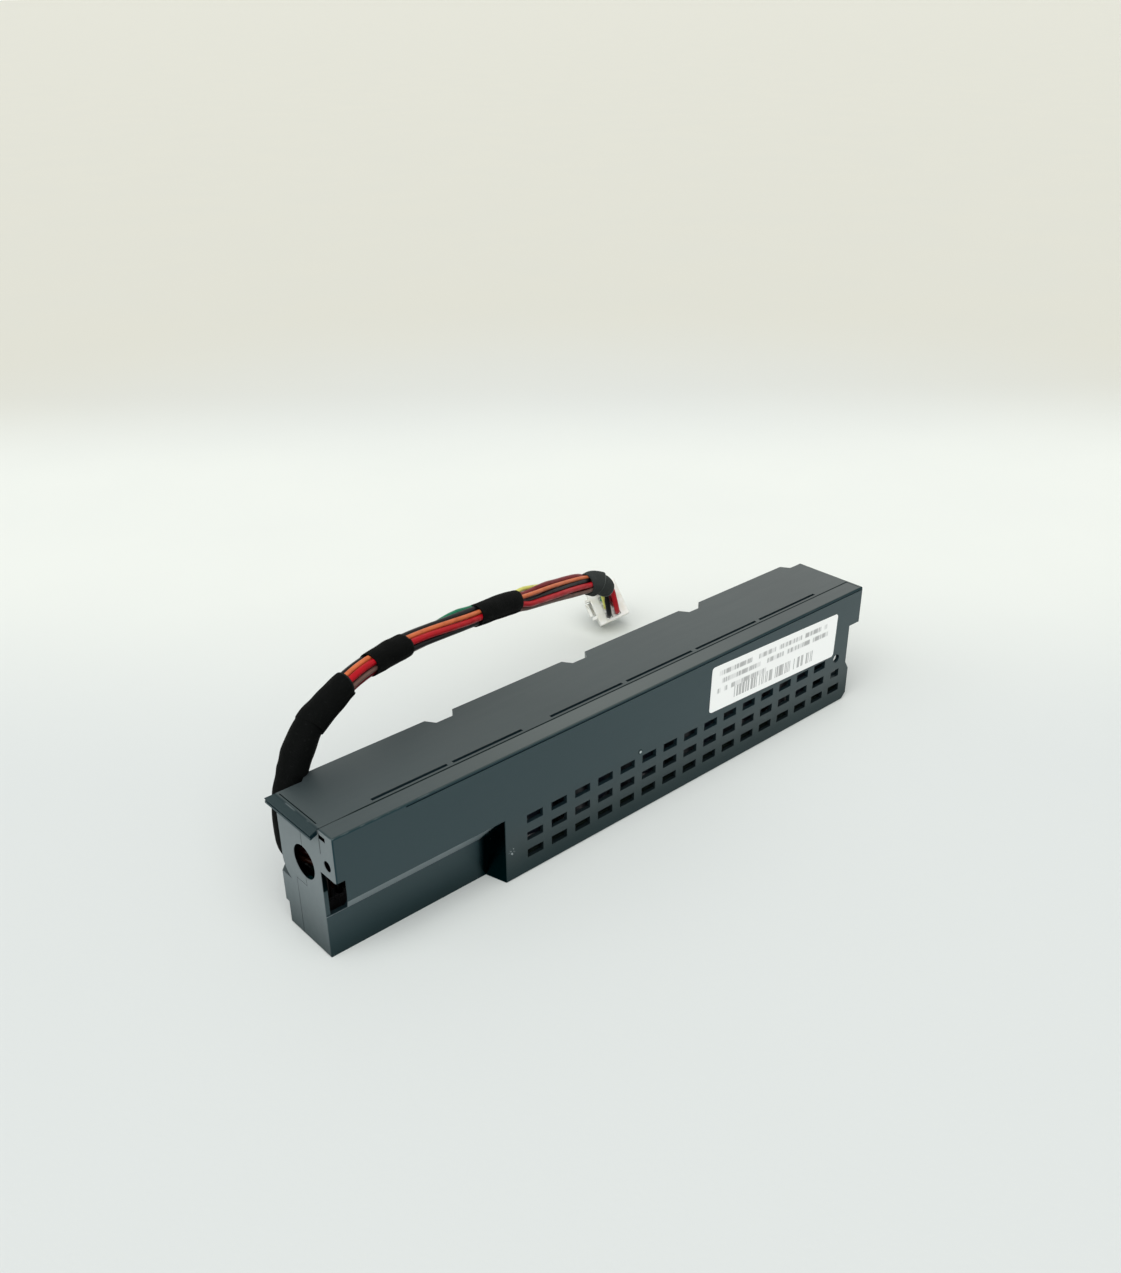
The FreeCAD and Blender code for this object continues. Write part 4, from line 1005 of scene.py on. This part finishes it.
class MODULE_OT_harness(bpy.types.Operator):
    """Lays the wires, rolls the tape round them and finishes the plug."""

    bl_idname = "module.harness"
    bl_label = "Harness"

    def execute(self, context):
        look = context.scene.module_harness
        line = HarnessLine()
        finishes = {}
        for colour in ("red", "shaded", "orange", "black", "green", "yellow", "brown"):
            finishes[colour] = insulation(colour + "_insulation", getattr(look, colour))
        wires = []
        for index, (name, gauge, _, _) in enumerate(WIRES):
            radius = look.thick_wire if gauge == "thick" else look.thin_wire
            places = wire_points(line, look, index)
            wires.append(draw_wire(name, places, radius, finishes[name.split("_")[0]]))
        bundle = join(wires, "harness_wires")
        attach(bundle, "root")
        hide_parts("wire_bundle")

        black_cloth = cloth_tape("black_cloth_tape", tuple(look.tape), 0.06)
        # Painted sheen: a lighter, greyer copy of the cloth tape
        grey_cloth_sheen = cloth_tape("grey_cloth_tape", tuple(look.end_tape_sheen), 0.7)
        for node in dict.fromkeys(strip[0] for strip in TAPE_STRIPS):
            cloth = grey_cloth_sheen if node == GREY_WRAP else black_cloth
            strips = [roll_tape(line, look, strip, cloth) for strip in TAPE_STRIPS if strip[0] == node]
            wrap = join(strips, node + "_cloth")
            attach(wrap, "root")
            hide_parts(node)
        dress("connector_housing", nylon("connector_nylon", tuple(look.nylon)))
        dress("connector_contacts", metal("contact_tin", CONTACT_TIN, 0.3, (2.0, 2.0, 5.0)))
        return {"FINISHED"}


class MODULE_OT_stage(bpy.types.Operator):
    """Sets the table, the light all round, the lamps and the photograph's camera."""

    bl_idname = "module.stage"
    bl_label = "Stage"

    def lamp(self, context, name, place, spread, strength, colour):
        """A far light that shines from a place towards the module."""
        deselect()
        bpy.ops.object.light_add(type="SUN", location=place)
        lamp = context.object
        lamp.name = name
        lamp.data.angle = math.radians(spread)
        lamp.data.energy = strength
        lamp.data.color = colour
        lamp.rotation_euler = (-place).to_track_quat("-Z", "Y").to_euler()

    def execute(self, context):
        look = context.scene.module_stage
        scene = context.scene
        scene.view_settings.view_transform = "Standard"
        deselect()
        bpy.ops.mesh.primitive_circle_add(
            vertices=96, radius=TABLE_RADIUS, fill_type="NGON", location=(0.0, 0.0, 0.0))
        table = context.object
        table.name = "table_top"
        table.data.materials.append(table_top(look))

        world = bpy.data.worlds.new("room")
        world.use_nodes = True
        scene.world = world
        tree = world.node_tree
        shade = tree.nodes["Background"]
        path = tree.nodes.new("ShaderNodeLightPath")
        seen = tree.nodes.new("ShaderNodeMath")
        seen.operation = "MAXIMUM"
        tree.links.new(path.outputs["Is Camera Ray"], seen.inputs[0])
        tree.links.new(path.outputs["Is Glossy Ray"], seen.inputs[1])
        tone = tree.nodes.new("ShaderNodeMix")
        tone.data_type = "RGBA"
        tone.inputs[MIX_FIRST].default_value = (*look.fill, 1.0)
        tone.inputs[MIX_SECOND].default_value = (*look.room, 1.0)
        tree.links.new(seen.outputs[0], tone.inputs[0])
        tree.links.new(tone.outputs[MIX_RESULT], shade.inputs["Color"])

        self.lamp(context, "window_light", WINDOW_PLACE, WINDOW_SPREAD, look.sky, (1.0, 1.0, 0.98))
        self.lamp(context, "side_light", SIDE_PLACE, SIDE_SPREAD, look.side, (0.97, 0.99, 1.0))

        deselect()
        bpy.ops.object.camera_add()
        camera = context.object
        camera.name = "photograph_camera"
        wide, high = PHOTO_SIZE
        longest = max(PHOTO_SIZE)
        camera.data.sensor_width = SENSOR
        camera.data.lens = FOCAL_PIXELS / longest * SENSOR
        camera.data.shift_x = (wide / 2 - PHOTO_MIDDLE[0]) / longest
        camera.data.shift_y = (PHOTO_MIDDLE[1] - high / 2) / longest
        camera.data.clip_start = 0.01
        turn = Matrix((CAMERA_RIGHT, -CAMERA_DOWN, -CAMERA_FORWARD)).transposed()
        camera.matrix_world = Matrix.Translation(CASE_CORNER + CAMERA_PLACE * MM) @ turn.to_4x4()
        scene.camera = camera
        return {"FINISHED"}


class MODULE_PT_panel(bpy.types.Panel):
    """Lists the steps that finish the module."""

    bl_idname = "MODULE_PT_panel"
    bl_label = "Backup Capacitor Module"
    bl_space_type = "VIEW_3D"
    bl_region_type = "UI"
    bl_category = "Module"

    def draw(self, context):
        for operator in OPERATORS:
            self.layout.operator(operator.bl_idname)


GROUPS = {
    "module_case": CaseLook,
    "module_label": LabelLook,
    "module_harness": HarnessLook,
    "module_stage": StageLook,
}
OPERATORS = (
    MODULE_OT_case,
    MODULE_OT_label,
    MODULE_OT_board,
    MODULE_OT_cells,
    MODULE_OT_harness,
    MODULE_OT_stage,
)
CLASSES = (*GROUPS.values(), *OPERATORS, MODULE_PT_panel)


def register():
    for cls in CLASSES:
        bpy.utils.register_class(cls)
    for name, group in GROUPS.items():
        setattr(bpy.types.Scene, name, PointerProperty(type=group))


def unregister():
    for name in GROUPS:
        delattr(bpy.types.Scene, name)
    for cls in reversed(CLASSES):
        bpy.utils.unregister_class(cls)


def main():
    register()
    bpy.ops.module.case()
    bpy.ops.module.label()
    bpy.ops.module.board()
    bpy.ops.module.cells()
    bpy.ops.module.harness()
    bpy.ops.module.stage()


if __name__ == "__main__":
    main()
